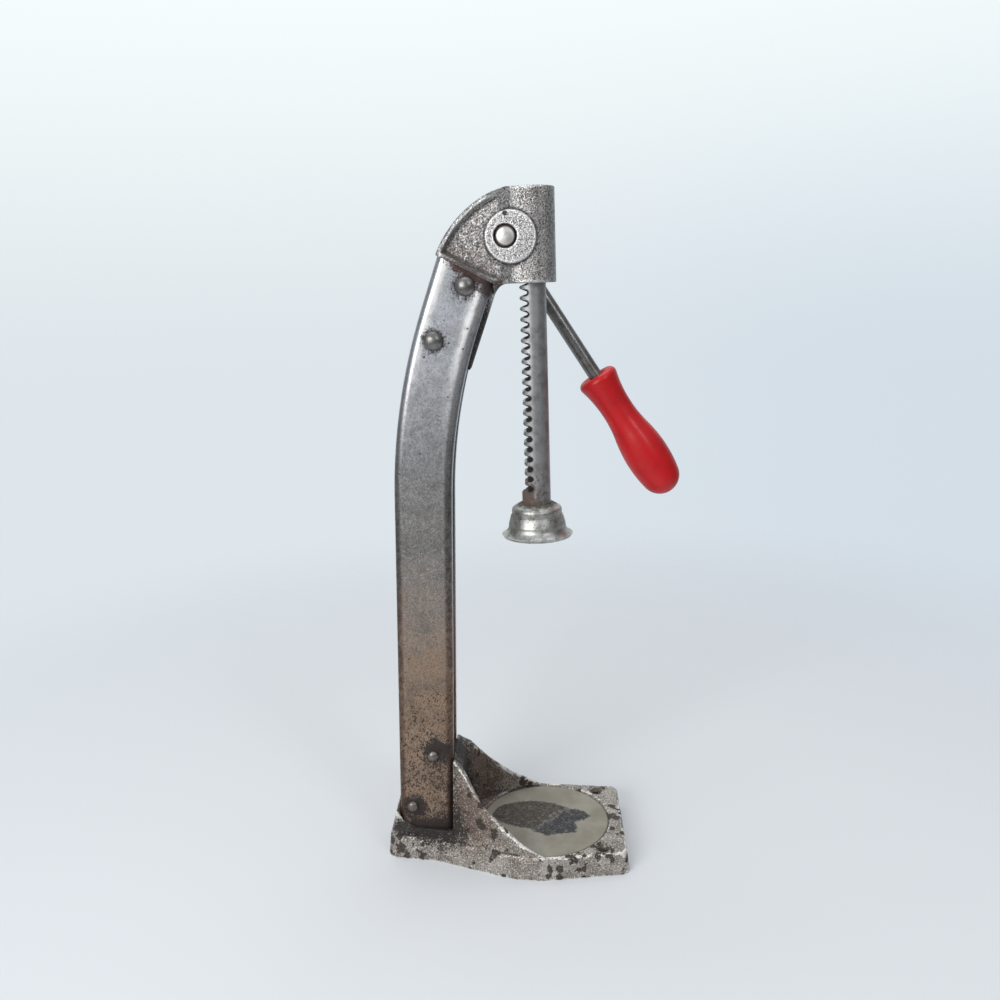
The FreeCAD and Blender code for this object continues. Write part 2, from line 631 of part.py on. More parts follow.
def make_base():
    body = new_body("base_casting")
    height = S["plate_height"]
    corners = [
        (-S["plate_rear"], S["plate_rear_half"]),
        (-S["plate_waist_x"], S["plate_waist_half"]),
        (-S["plate_shoulder_x"], S["plate_shoulder_half"]),
        (S["plate_front"], S["plate_front_half"]),
    ]
    plan = sketch_on(body, "XY_Plane", "plate_plan")
    loop(plan, mirrored_corners(corners))
    pad(body, "plate", plan, height, draft=-S["plate_draft"])
    radii = ["rear_corner_r", "waist_r", "shoulder_r", "front_corner_r"]
    for (x, y), key in zip(corners, radii):
        for side, sign in (("left", 1.0), ("right", -1.0)):
            dress(body, "Fillet", f"{key}_{side}", near_point(x, sign * y), S[key])
    dress(body, "Fillet", "plate_edge",
          lambda e: e.BoundBox.ZMin > height.value - 1e-3, S["plate_edge_r"])

    # The collar hugs the foot of the column and falls away to the plate
    back, front = collar_back, collar_front
    wall = S["collar_wall"] + S["cast_fit"]
    foot = sketch_on(body, "XY_Plane", "collar_foot_plan", height - 1.0)
    loop(foot, mirrored_corners([(back - S["collar_foot"], half_width), (front, half_width + 6.0)]))
    top = sketch_on(body, "XY_Plane", "collar_top_plan", S["collar_rear"])
    loop(top, mirrored_corners([(back - wall, half_width + wall), (front, half_width + wall)]))
    collar = body.newObject("PartDesign::AdditiveLoft", "collar")
    collar.Profile = foot
    collar.Sections = [top]
    collar.Ruled = True
    settle(collar, body)
    slope = sketch_on(body, "XZ_Plane", "collar_slope")
    loop(slope, [
        (back - 3.0, S["collar_rear"]),
        (back + 3.0, S["collar_side"]),
        (back + 12.0, S["collar_fall"]),
        (front + 1.0, S["collar_ahead"]),
        (front + 1.0, S["collar_rear"] + 5.0),
        (back - 3.0, S["collar_rear"] + 5.0),
    ])
    pocket(body, "collar_side_cut", slope, symmetric=True)

    # The webs spring from the column's front corners and sweep down to the sides of the plate
    low = sketch_on(body, "XY_Plane", "web_foot_plan", height - 2.0)
    loop(low, mirrored_corners([
        (column_x(height, half_depth), S["web_root_half"]), (-S["web_flare_x"], S["web_flare_half"]),
        (-S["web_bend_x"], S["web_bend_half"]), (-S["web_bow_x"], S["web_bow_half"]),
        (-S["web_sweep_end"] + 1.0, S["web_end_half"]),
    ]))
    high = sketch_on(body, "XY_Plane", "web_top_plan", S["web_height"])
    high_x = column_x(S["web_height"], half_depth)
    loop(high, mirrored_corners([
        (high_x, half_width + wall), (high_x + 2.0, S["web_high_half"]),
        (-S["web_high_bend_x"], S["web_high_bend_half"]), (-S["web_high_bow_x"], S["web_high_bow_half"]),
        (-S["web_high_end_x"], S["web_high_end_half"]),
    ]))
    webs = body.newObject("PartDesign::AdditiveLoft", "webs")
    webs.Profile = low
    webs.Sections = [high]
    webs.Ruled = True
    settle(webs, body)
    sweep = sketch_on(body, "XZ_Plane", "web_sweep")
    loop(sweep, [
        (-S["web_start"], S["web_height"]),
        (-S["web_knee_x"], S["web_knee_z"], S["web_sweep_r"]),
        (-S["web_sweep_end"], height),
        (S["plate_front"], height),
        (S["plate_front"], S["web_height"] + 10.0),
        (-S["web_start"], S["web_height"] + 10.0),
    ])
    pocket(body, "web_sweep_cut", sweep, symmetric=True)
    bowl = sketch_on(body, "XY_Plane", "bowl_plan", height)
    inner = S["web_wall"]
    loop(bowl, mirrored_corners([
        (-S["bowl_rear"], half_width - 1.0), (-S["web_bend_x"] + 1.0, S["web_bend_half"] - inner),
        (-S["web_bow_x"], S["web_bow_half"] - 1.2 - inner), (6.0, S["web_bow_half"] - 1.2 - inner),
    ]))
    pocket(body, "bowl", bowl, S["web_height"], reverse=True)
    seat_wall = sketch_on(body, "XY_Plane", "seat_wall_plan", height)
    ring(seat_wall, 0.0, 0.0, S["seat_r"])
    pocket(body, "seat_wall", seat_wall, S["web_height"], reverse=True)

    # Socket of the channel, and the stub that fills it
    fit = S["cast_fit"]
    socket = sketch_on(body, "XZ_Plane", "socket_side")
    top_z = S["stub_height"] + 10.0
    loop(socket, [
        (column_x(height, -half_depth - fit), height), (column_x(height, half_depth + fit), height),
        (column_x(top_z, half_depth + fit), top_z), (column_x(top_z, -half_depth - fit), top_z),
    ])
    pocket(body, "socket", socket, S["column_width"] + 2.0 * fit, symmetric=True)
    inside = half_depth - S["column_sheet"] - fit
    stub = sketch_on(body, "XZ_Plane", "stub_side")
    loop(stub, [
        (column_x(height - 1.0, -inside), height - 1.0), (column_x(height - 1.0, inside), height - 1.0),
        (column_x(S["stub_height"], inside), S["stub_height"]),
        (column_x(S["stub_height"], -inside), S["stub_height"]),
    ])
    pad(body, "stub", stub, S["column_width"] - 2.0 * (S["column_sheet"] + fit), symmetric=True)
    stub_side = half_width.value - S["column_sheet"].value - fit.value
    dress(body, "Chamfer", "stub_bevel",
          lambda e: e.BoundBox.ZLength > S["stub_height"].value / 2.0 and e.BoundBox.YLength < 1e-3
          and abs(abs(e.BoundBox.YMin) - stub_side) < 1e-3, S["core_bevel"])
    neck = sketch_on(body, "XZ_Plane", "stub_neck_side")
    neck_top = S["web_height"] - 1.0
    loop(neck, [
        (column_x(height - 1.0, 0.0), height - 1.0), (column_x(height - 1.0, half_depth + 2.0), height - 1.0),
        (column_x(neck_top, half_depth + 2.0), neck_top), (column_x(neck_top, 0.0), neck_top),
    ])
    pad(body, "stub_neck", neck, S["column_slot"] - 2.0 * fit, symmetric=True)

    # Seat, hollow underside with its ribs, screw holes and rivet holes
    seat = sketch_on(body, "XY_Plane", "seat_plan", height)
    ring(seat, 0.0, 0.0, S["seat_r"])
    pocket(body, "seat_recess", seat, S["seat_depth"])
    edge = S["plate_wall"]
    hollow = sketch_on(body, "XY_Plane", "hollow_plan")
    loop(hollow, mirrored_corners([
        (-S["plate_rear"] + edge, S["plate_rear_half"] - edge),
        (-S["plate_waist_x"], S["plate_waist_half"] - edge),
        (-S["plate_shoulder_x"] - S["hollow_back"], S["plate_shoulder_half"] - S["hollow_back_in"]),
        (-S["plate_shoulder_x"] + S["hollow_ahead"], S["plate_shoulder_half"] - S["hollow_ahead_in"]),
        (S["plate_front"] - edge, S["plate_front_half"] - edge),
    ]))
    pocket(body, "hollow", hollow, S["plate_hollow"], reverse=True)
    ribs = sketch_on(body, "XY_Plane", "rib_plan")
    half_rib = S["plate_rib"] / 2.0
    loop(ribs, mirrored_corners([(-S["plate_rear"] + 2.0, half_rib), (S["plate_front"] - 2.0, half_rib)]))
    pad(body, "long_rib", ribs, S["plate_hollow"] + 1.0)
    cross = sketch_on(body, "XY_Plane", "cross_rib_plan")
    loop(cross, mirrored_corners([(-half_rib, S["plate_shoulder_half"] - 5.0), (half_rib, S["plate_shoulder_half"] - 5.0)]))
    pad(body, "cross_rib", cross, S["plate_hollow"] + 1.0)
    bosses = sketch_on(body, "XY_Plane", "boss_plan")
    ring(bosses, 0.0, 0.0, S["origin_boss_r"])
    pad(body, "origin_boss", bosses, S["plate_hollow"] + 1.0)
    for side, sign in (("left", 1.0), ("right", -1.0)):
        place = sketch_on(body, "XY_Plane", f"screw_boss_plan_{side}")
        ring(place, S["screw_x"], sign * S["screw_half"], S["screw_boss_r"])
        pad(body, f"screw_boss_{side}", place, S["plate_hollow"] + 1.0)
    holes = sketch_on(body, "XY_Plane", "screw_plan")
    for sign in (1.0, -1.0):
        ring(holes, S["screw_x"], sign * S["screw_half"], S["screw_hole_r"])
    pocket(body, "screw_holes", holes, height * 2.0, reverse=True)
    dress(body, "Chamfer", "countersinks",
          lambda e: is_circle(e, S["screw_hole_r"]) and e.BoundBox.ZMin > height.value - 1e-3, S["screw_sink"])
    rivets = sketch_on(body, "XZ_Plane", "base_rivet_places")
    rivet_holes(rivets, "base")
    pocket(body, "rivet_holes", rivets, symmetric=True)
    return body


def make_seat_pad():
    body = new_body("seat_pad")
    plan = sketch_on(body, "XY_Plane", "pad_plan", S["plate_height"] - S["seat_depth"])
    ring(plan, 0.0, 0.0, S["seat_r"] - S["pad_gap"])
    pad(body, "pad_disc", plan, S["pad_thick"])
    top = (S["plate_height"] - S["seat_depth"] + S["pad_thick"]).value
    dress(body, "Fillet", "pad_edge", lambda e: e.BoundBox.ZMin > top - 1e-3, S["pad_edge_r"])
    return body


# Column: a lipped channel swept along a straight run, a bend and a straight run, then cut to its ends

def make_column():
    body = new_body("column")
    path = sketch_on(body, "XZ_Plane", "column_path")
    top_x, top_z = along_tilt(bend_end_x, bend_end_z, 0.0, 46.0)
    loop(path, [
        (-foot_x, 0.0),
        (bend_x, bend_z, -S["column_bend_r"]),
        (bend_end_x, bend_end_z),
        (top_x, top_z),
    ], closed=False)
    profile = sketch_on(body, "XY_Plane", "channel_profile")
    profile.AttachmentOffset = FreeCAD.Placement(V(0, 0, 0), FreeCAD.Rotation(Y_AXIS, 1.0))
    bind(profile, "AttachmentOffset.Base.x", -foot_x)
    bind(profile, "AttachmentOffset.Rotation.Angle", lean)
    t, r = S["column_sheet"], S["column_corner_r"]
    a, b, lip = half_depth, half_width, S["column_slot"] / 2.0
    half = [
        (a, -lip), (a, -(b - r), -r), (a - r, -b), (-(a - r), -b, -r), (-a, -(b - r)),
        (-a, b - r, -r), (-(a - r), b), (a - r, b, -r), (a, b - r), (a, lip),
        (a - t, lip), (a - t, b - r, r - t), (a - r, b - t), (-(a - r), b - t, r - t), (-(a - t), b - r),
        (-(a - t), -(b - r), r - t), (-(a - r), -(b - t)), (a - r, -(b - t), r - t), (a - t, -(b - r)), (a - t, -lip),
    ]
    loop(profile, half)
    channel = body.newObject("PartDesign::AdditivePipe", "channel")
    channel.Profile = profile
    channel.Spine = path
    settle(channel, body)
    foot = sketch_on(body, "XZ_Plane", "foot_cut")
    far = S["plate_rear"] + 20.0
    loop(foot, [(-far, -40.0), (0.0, -40.0), (0.0, S["plate_height"]), (-far, S["plate_height"])])
    pocket(body, "foot_trim", foot, symmetric=True)
    seam = sketch_on(body, "XZ_Plane", "seam_cut")
    loop(seam, [(-far, seam_at(-far)), (0.0, seam_at(as_size(0.0))), (0.0, S["head_top"] + 60.0),
                (-far, S["head_top"] + 60.0)])
    pocket(body, "seam_trim", seam, symmetric=True)
    rivets = sketch_on(body, "XZ_Plane", "column_rivet_places")
    rivet_holes(rivets, "both")
    pocket(body, "column_rivet_holes", rivets, symmetric=True)
    return body


def make_rivet(name, x, z, kind):
    """A through rivet with two domed heads, turned along Y."""
    body = new_body(name)
    shank, dome_r, dome = S[kind + "_rivet_r"], S[kind + "_dome_r"], S[kind + "_dome"]
    grip = half_width
    curve = dome_curve[kind]
    sketch = sketch_on(body, "XZ_Plane", name + "_profile")
    loop(sketch, [
        (0.0, -(grip + dome), curve), (dome_r, -grip), (shank, -grip), (shank, grip),
        (dome_r, grip, curve), (0.0, grip + dome),
    ])
    revolve(body, name + "_turned", sketch)
    body.Placement = FreeCAD.Placement(V(0, 0, 0), FreeCAD.Rotation(X_AXIS, 90))
    bind(body, "Placement.Base.x", x)
    bind(body, "Placement.Base.z", z)
    return body


# Head casting, from extruded outlines, a turned housing and two bosses

def extrusion(name, sketch, length, symmetric=True, reverse=False, draft=None):
    feature = doc.addObject("Part::Extrusion", name)
    feature.Base = sketch
    feature.DirMode = "Normal"
    feature.Solid = True
    feature.Symmetric = symmetric
    feature.Reversed = reverse
    bind(feature, "LengthFwd", length)
    if draft is not None:
        bind(feature, "TaperAngle", draft)
    return settle(feature)


def cylinder(name, radius, length, x, y, z, along_y=True):
    """A cylinder that starts at the point and runs along Y, or along Z."""
    feature = doc.addObject("Part::Cylinder", name)
    bind(feature, "Radius", radius)
    bind(feature, "Height", length)
    if along_y:
        feature.Placement = FreeCAD.Placement(V(0, 0, 0), FreeCAD.Rotation(X_AXIS, -90))
    for letter, size in (("x", x), ("y", y), ("z", z)):
        bind(feature, "Placement.Base." + letter, size)
    return settle(feature)


def boolean(kind, name, parts):
    feature = doc.addObject("Part::" + kind, name)
    if kind == "Cut":
        feature.Base, feature.Tool = parts
    else:
        feature.Shapes = parts
    return settle(feature)


def make_boss(name, face_r, x, z, side):
    """A drafted round boss that grows towards the middle of the head."""
    cone = doc.addObject("Part::Cone", name)
    bind(cone, "Radius1", face_r + S["boss_flare"])
    bind(cone, "Radius2", face_r)
    bind(cone, "Height", S["boss_half"] - S["taper_half"] / 2.0)
    cone.Placement = FreeCAD.Placement(V(0, 0, 0), FreeCAD.Rotation(X_AXIS, -90 * side))
    bind(cone, "Placement.Base.x", x)
    bind(cone, "Placement.Base.y", side * S["taper_half"] / 2.0)
    bind(cone, "Placement.Base.z", z)
    return settle(cone)


def make_head():
    # The front line of the shank meets the underside of the housing with a throat radius
    throat_low = along_tilt(throat_x, S["head_bottom"], 0.0, -throat_setback)
    side = free_sketch("head_side")
    loop(side, [
        (back_x, seam_at(back_x), -S["head_arc_r"]),
        (arc_end, S["head_top"]),
        (0.0, S["head_top"]),
        (0.0, S["head_bottom"]),
        (throat_x + throat_setback, S["head_bottom"], S["throat_r"]),
        (throat_low[0], throat_low[1]),
        (front_x, seam_at(front_x)),
    ])
    block = extrusion("head_block", side, 2.0 * S["head_half"])
    plan = free_sketch("head_plan", upright=False)
    bind(plan, "Placement.Base.z", S["shank_end_z"])
    loop(plan, mirrored_corners([
        (back_x - 10.0, S["head_half"]), (-S["taper_start"], S["head_half"]),
        (-S["taper_end"], S["taper_half"]), (1.0, S["taper_half"]),
    ]))
    plan_block = extrusion("head_plan_block", plan, S["head_top"] - S["shank_end_z"] + 20.0, symmetric=False)
    blank = boolean("MultiCommon", "head_blank", [block, plan_block])

    # Sunk side panels inside the rim
    width = S["rim_width"]
    lift = width / cosine(S["seam_slope"])
    panel = free_sketch("panel_side")
    bind(panel, "Placement.Base.y", -S["head_half"])
    low_x = front_x + 1.5
    loop(panel, [
        (window_x, window_z, -inner_r),
        (window_end_x, window_end_z),
        (-1.0, S["head_top"] - width),
        (-1.0, S["head_bottom"] + 3.0 * width),
        (-S["taper_end"], S["head_bottom"] + 2.9 * width),
        (low_x, seam_at(low_x) + lift),
    ])
    depth = S["head_half"] - S["panel_half"]
    near_panel = extrusion("near_panel", panel, depth, symmetric=False, reverse=True, draft=-S["panel_draft"])
    far_panel = doc.addObject("Part::Mirroring", "far_panel")
    far_panel.Source = near_panel
    far_panel.Normal = Y_AXIS
    settle(far_panel)
    panels = boolean("MultiFuse", "panels", [near_panel, far_panel])
    sunk = boolean("Cut", "head_sunk", [blank, panels])

    # Shank: a bevelled block inside the channel and a rib that stands out through its open front
    end = (-S["shank_end_x"], S["shank_end_z"])
    block_side = free_sketch("shank_side")
    loop(block_side, [
        along_tilt(end[0], end[1], core_back, 0.0),
        along_tilt(end[0], end[1], core_front, 0.0),
        along_tilt(end[0], end[1], core_front, front_rise),
        along_tilt(end[0], end[1], core_back, back_rise),
    ])
    core_width = S["column_width"] - 2.0 * (S["column_sheet"] + S["cast_fit"])
    block = extrusion("shank_block", block_side, core_width)
    core_plan = free_sketch("shank_plan", upright=False)
    core_plan.Placement = FreeCAD.Placement(V(0, 0, 0), FreeCAD.Rotation(Y_AXIS, 1.0))
    bind(core_plan, "Placement.Rotation.Angle", tilt)
    bind(core_plan, "Placement.Base.x", end[0])
    bind(core_plan, "Placement.Base.z", end[1])
    half, bevel = core_width / 2.0, S["core_bevel"]
    loop(core_plan, mirrored_corners([
        (core_back, half - bevel), (core_back + bevel, half), (core_front - bevel, half), (core_front, half - bevel),
    ]))
    core = extrusion("shank_core", core_plan, back_rise + S["head_half"], symmetric=False)
    shank = boolean("MultiCommon", "shank", [block, core])
    rib_side = free_sketch("shank_rib_side")
    rib_rise = front_rise + S["throat_r"]
    loop(rib_side, [
        along_tilt(end[0], end[1], core_front - 2.0, 0.0), along_tilt(end[0], end[1], 0.0, 0.0),
        along_tilt(end[0], end[1], 0.0, rib_rise), along_tilt(end[0], end[1], core_front - 2.0, rib_rise),
    ])
    rib = extrusion("shank_rib", rib_side, S["column_slot"] - 2.0 * S["cast_fit"])

    housing = cylinder("housing", S["housing_r"], S["head_top"] - S["head_bottom"], 0.0, 0.0, S["head_bottom"],
                       along_y=False)
    near_boss = make_boss("near_boss", S["boss_r"], -S["boss_x"], S["boss_z"], -1)
    far_boss = make_boss("far_boss", S["far_boss_r"], shaft_x, S["shaft_z"], 1)
    rounded = []
    for item in (housing, near_boss, far_boss):
        edges = [i for i, e in enumerate(item.Shape.Edges, 1)
                 if isinstance(e.Curve, Part.Circle) and (item is housing or abs(e.BoundBox.YMin) > S["taper_half"].value)]
        soft = doc.addObject("Part::Fillet", item.Name + "_rounded")
        soft.Base = item
        soft.Edges = [(i, S["boss_edge_r"].value, S["boss_edge_r"].value) for i in edges]
        rounded.append(settle(soft))
    solid = boolean("MultiFuse", "head_solid", [sunk, shank, rib] + rounded)

    bore = cylinder("rod_bore", S["rod_r"] + S["rod_fit"], S["head_top"] - S["head_bottom"] + 40.0, 0.0, 0.0,
                    S["head_bottom"] - 20.0, along_y=False)
    cavity = cylinder("pinion_space", far_bore_r, cavity_half + S["boss_half"] + 5.0, shaft_x, -cavity_half,
                      S["shaft_z"])
    near_bore = cylinder("near_bore", near_bore_r, S["boss_half"] + 5.0, shaft_x, -S["boss_half"] - 5.0, S["shaft_z"])
    rivets = free_sketch("head_rivet_places")
    rivet_holes(rivets, "head")
    holes = extrusion("head_rivet_holes", rivets, S["column_width"] * 2.0)
    tools = boolean("MultiFuse", "head_bores", [bore, cavity, near_bore, holes])
    head = boolean("Cut", "head_casting", [solid, tools])
    head.Label = "head_casting"
    return head


# Plunger: toothed rod, bell, washer and screw

def make_rod():
    body = new_body("rack_rod")
    plan = sketch_on(body, "XY_Plane", "rod_plan", S["bell_top"])
    ring(plan, 0.0, 0.0, S["rod_r"])
    pad(body, "rod_bar", plan, S["rod_top"] - S["bell_top"])
    dress(body, "Chamfer", "rod_top_edge", lambda e: e.BoundBox.ZMin > S["rod_top"].value - 1e-3, S["rod_chamfer"])
    flat_x = -(S["rod_r"] - S["rod_flat"])
    out_x = -S["rod_r"] - 1.0
    flat = sketch_on(body, "XZ_Plane", "flat_side")
    loop(flat, [
        (flat_x, flat_bottom), (flat_x, flat_top), (out_x, flat_top + S["flat_runout"]),
        (out_x, flat_bottom - S["flat_runout"]),
    ])
    pocket(body, "flat", flat, symmetric=True)

    # One gap between two rounded teeth, repeated down the rod
    line_x, slope = -rack_line, tangent(S["pressure_angle"])
    quarter = S["tooth_module"] * (math.pi / 4.0) + S["rack_backlash"] / 2.0
    root_half = quarter - S["rack_ded"] * slope
    mouth_half = quarter + S["rack_add"] * slope
    setback = S["rack_round"] * tangent((90.0 - S["pressure_angle"]) / 2.0)
    flank_x = flat_x + setback * cosine(S["pressure_angle"])
    flank_half = mouth_half - setback * sine(S["pressure_angle"])
    z = rack_top
    gap = sketch_on(body, "XZ_Plane", "gap_side")
    loop(gap, [
        (line_x + S["rack_ded"], z - root_half), (line_x + S["rack_ded"], z + root_half),
        (flank_x, z + flank_half, S["rack_round"]), (flat_x, z + mouth_half + setback),
        (out_x, z + mouth_half + setback), (out_x, z - mouth_half - setback),
        (flat_x, z - mouth_half - setback, S["rack_round"]), (flank_x, z - flank_half),
    ])
    first = pocket(body, "tooth_gap", gap, symmetric=True)
    pattern = body.newObject("PartDesign::LinearPattern", "rack")
    pattern.Originals = [first]
    pattern.Direction = (gap, ["V_Axis"])
    pattern.Reversed = True
    bind(pattern, "Length", rack_length)
    bind(pattern, "Occurrences", S["rack_gaps"])
    settle(pattern, body)
    tapped = sketch_on(body, "XY_Plane", "screw_hole_plan", S["bell_top"])
    ring(tapped, 0.0, 0.0, S["bell_screw_r"] + S["screw_fit"])
    pocket(body, "screw_hole", tapped, S["bell_screw_length"], reverse=True)
    return body


def make_bell():
    body = new_body("crimping_bell")
    top, t = S["bell_top"], S["bell_sheet"]
    hole = S["bell_screw_r"] + S["screw_fit"]
    shoulder, crease = top - S["bell_shoulder"], top - S["bell_crease"]
    skirt, rim = top - S["bell_skirt"], top - S["bell_height"]
    r1, r2 = S["bell_shoulder_r"], S["bell_shoulder_r"] + S["bell_crease_step"]
    flare = S["bell_flare_r"]
    slope_r, slope_z = S["bell_slope_r"], top - S["bell_slope_drop"]
    profile = sketch_on(body, "XZ_Plane", "bell_profile")
    loop(profile, [
        (hole, top - t), (S["bell_flat_r"] - 0.2 * t, top - t),
        (slope_r - 0.45 * t, slope_z - 0.9 * t, -(S["bell_shoulder_curve"] - t)),
        (r1 - t, shoulder),
        (r1 - t, crease),
        (S["bell_skirt_r"] - t, skirt, flare + t),
        (S["bell_rim_r"] - t / 2.0, rim),
        (S["bell_rim_r"], rim + t * 0.8, -flare),
        (S["bell_skirt_r"], skirt + t / 3.0),
        (r2, crease - S["bell_crease_step"]),
        (r1, crease),
        (r1, shoulder, S["bell_shoulder_curve"]),
        (slope_r, slope_z),
        (S["bell_flat_r"], top),
        (hole, top),
    ])
    revolve(body, "bell_pressed", profile)
    return body


def make_bell_washer():
    body = new_body("bell_washer")
    top = S["bell_top"] - S["bell_sheet"]
    plan = sketch_on(body, "XY_Plane", "bell_washer_plan", top - S["bell_washer_thick"])
    ring(plan, 0.0, 0.0, S["bell_washer_r"])
    ring(plan, 0.0, 0.0, S["bell_screw_r"] + S["screw_fit"])
    pad(body, "bell_washer_disc", plan, S["bell_washer_thick"])
    return body


def make_bell_screw():
    body = new_body("bell_screw")
    under = S["bell_top"] - S["bell_sheet"] - S["bell_washer_thick"]
    head_r, head = S["bell_screw_head_r"], S["bell_screw_head"]
    profile = sketch_on(body, "XZ_Plane", "bell_screw_profile")
    loop(profile, [
        (0.0, under - head), (head_r - 1.0, under - head, 1.0), (head_r, under - head + 1.0), (head_r, under),
        (S["bell_screw_r"], under), (S["bell_screw_r"], under + S["bell_screw_length"]),
        (0.0, under + S["bell_screw_length"]),
    ])
    revolve(body, "bell_screw_turned", profile)
    slot = sketch_on(body, "XZ_Plane", "slot_side")
    half = S["screw_slot"] / 2.0
    loop(slot, [(-half, under - head - 1.0), (half, under - head - 1.0), (half, under - head + S["screw_slot"]),
                (-half, under - head + S["screw_slot"])])
    pocket(body, "screw_slot_cut", slot, symmetric=True)
    return body


# Bearings and washer, each a turned ring along Y

def make_sleeve(name, outline):
    """Turn an outline of (radius, y) corners about the shaft."""
    body = new_body(name)
    profile = sketch_on(body, "XZ_Plane", name + "_profile")
    loop(profile, outline)
    revolve(body, name + "_turned", profile)
    body.Placement = FreeCAD.Placement(V(0, 0, 0), FreeCAD.Rotation(X_AXIS, -90))
    bind(body, "Placement.Base.x", shaft_x)
    bind(body, "Placement.Base.z", S["shaft_z"])
    return body


def make_bearings():
    bore = S["journal_r"] + S["journal_fit"]
    near_r, far_r = near_bore_r - S["bush_fit"], far_bore_r - S["bush_fit"]
    face = S["boss_half"]
    make_sleeve("near_bush", [
        (bore, -(face - S["bush_sunk"])), (near_r, -(face - S["bush_sunk"])),
        (near_r, -cavity_half), (bore, -cavity_half),
    ])
    inner_end = cavity_half + 0.2
    flange = face + S["flange_thick"]
    make_sleeve("far_bush", [
        (bore, inner_end), (far_r, inner_end), (far_r, face), (S["flange_r"], face),
        (S["flange_r"], flange), (bore, flange),
    ])
    start = flange + S["washer_gap"]
    make_sleeve("thrust_washer", [
        (bore, start), (S["washer_r"], start), (S["washer_r"], start + S["washer_thick"]),
        (bore, start + S["washer_thick"]),
    ])


# Pinion shaft: involute teeth between two journals

def involute(angle):
    return math.tan(angle) - angle


def pinion_wire():
    """The closed outline of the pinion, from its involute flanks, in a plane square to its axis."""
    alpha = math.radians(S["pressure_angle"].value)
    teeth = int(round(S["pinion_teeth"].value))
    module, shift = S["tooth_module"].value, S["pinion_shift"].value
    pitch, tip, foot = pitch_r.value, pinion_tip_r.value, S["pinion_root_r"].value
    base = pitch * math.cos(alpha)
    half_pitch = (math.pi / 2.0 + 2.0 * shift * math.tan(alpha)) / teeth
    steps = 5

    def half_angle(radius):
        return half_pitch + involute(alpha) - involute(math.acos(min(base / radius, 1.0)))

    def polar(radius, angle):
        return V(radius * math.cos(angle), radius * math.sin(angle), 0)

    phase = S["rack_rise"].value / pitch
    edges = []
    radii = [base + (tip - base) * (i / (steps - 1.0)) ** 1.5 for i in range(steps)]
    for tooth in range(teeth):
        middle = phase + 2.0 * math.pi * tooth / teeth
        rising = [polar(r, middle - half_angle(r)) for r in radii]
        falling = [polar(r, middle + half_angle(r)) for r in reversed(radii)]
        start = polar(foot, middle - half_angle(base))
        end = polar(foot, middle + half_angle(base))
        following = polar(foot, middle + 2.0 * math.pi / teeth - half_angle(base))
        between = polar(foot, middle + math.pi / teeth)
        edges.append(Part.LineSegment(start, rising[0]).toShape())
        for flank in (rising, falling):
            curve = Part.BSplineCurve()
            curve.interpolate(flank)
            if flank is falling:
                edges.append(Part.Arc(rising[-1], polar(tip, middle), falling[0]).toShape())
            edges.append(curve.toShape())
        edges.append(Part.LineSegment(falling[-1], end).toShape())
        edges.append(Part.Arc(end, between, following).toShape())
    return Part.Wire(edges)


def make_pinion_shaft():
    width, journal = S["pinion_width"].value, S["journal_r"].value
    near_end = (S["boss_half"] + S["shaft_proud"]).value
    dome = S["shaft_dome"].value
    far_end = (S["lever_y"] - S["lever_rod_r"] - S["shaft_cover"]).value
    gear = Part.Face(pinion_wire()).extrude(V(0, 0, width))
    gear.translate(V(0, 0, -width / 2.0))
    curve = (journal * journal + dome * dome) / (2.0 * dome)
    bar = Part.makeCylinder(journal, far_end + near_end + dome, V(0, 0, -near_end - dome))
    ball = Part.makeSphere(curve, V(0, 0, -near_end - dome + curve))
    keep = Part.makeCylinder(journal, far_end + near_end, V(0, 0, -near_end))
    bar = keep.fuse(bar.common(ball)).removeSplitter()
    pin_hole = Part.makeCylinder((S["hub_pin_r"] + S["lever_fit"]).value, 4.0 * journal, V(0, 0, 0), X_AXIS)
    pin_hole.translate(V(-2.0 * journal, 0, 0))
    pin_hole.rotate(V(0, 0, 0), Z_AXIS, 90.0 - S["lever_angle"].value)
    pin_hole.translate(V(0, 0, S["hub_pin_y"].value))
    shape = gear.fuse(bar).removeSplitter().cut(pin_hole)
    feature = doc.addObject("Part::Feature", "pinion_shaft")
    feature.Label = "pinion_shaft"
    # Local x stays row X, local y becomes row Z, and local z becomes row -Y, so the shape is mirrored first
    feature.Shape = shape.mirror(V(0, 0, 0), Z_AXIS)
    feature.Placement = FreeCAD.Placement(V(shaft_x.value, 0, S["shaft_z"].value), FreeCAD.Rotation(X_AXIS, 90))
    return settle(feature)


# Lever: hub, pin, rod, nut and grip

def lever_placement(body):
    """Put a body whose own Z runs out along the lever at the shaft."""
    turn = FreeCAD.Rotation(Y_AXIS, 90.0)
    body.Placement = FreeCAD.Placement(V(0, 0, 0), turn)
    bind(body, "Placement.Rotation.Angle", 90.0 + S["lever_angle"])
    bind(body, "Placement.Base.x", shaft_x)
    bind(body, "Placement.Base.y", S["lever_y"])
    bind(body, "Placement.Base.z", S["shaft_z"])


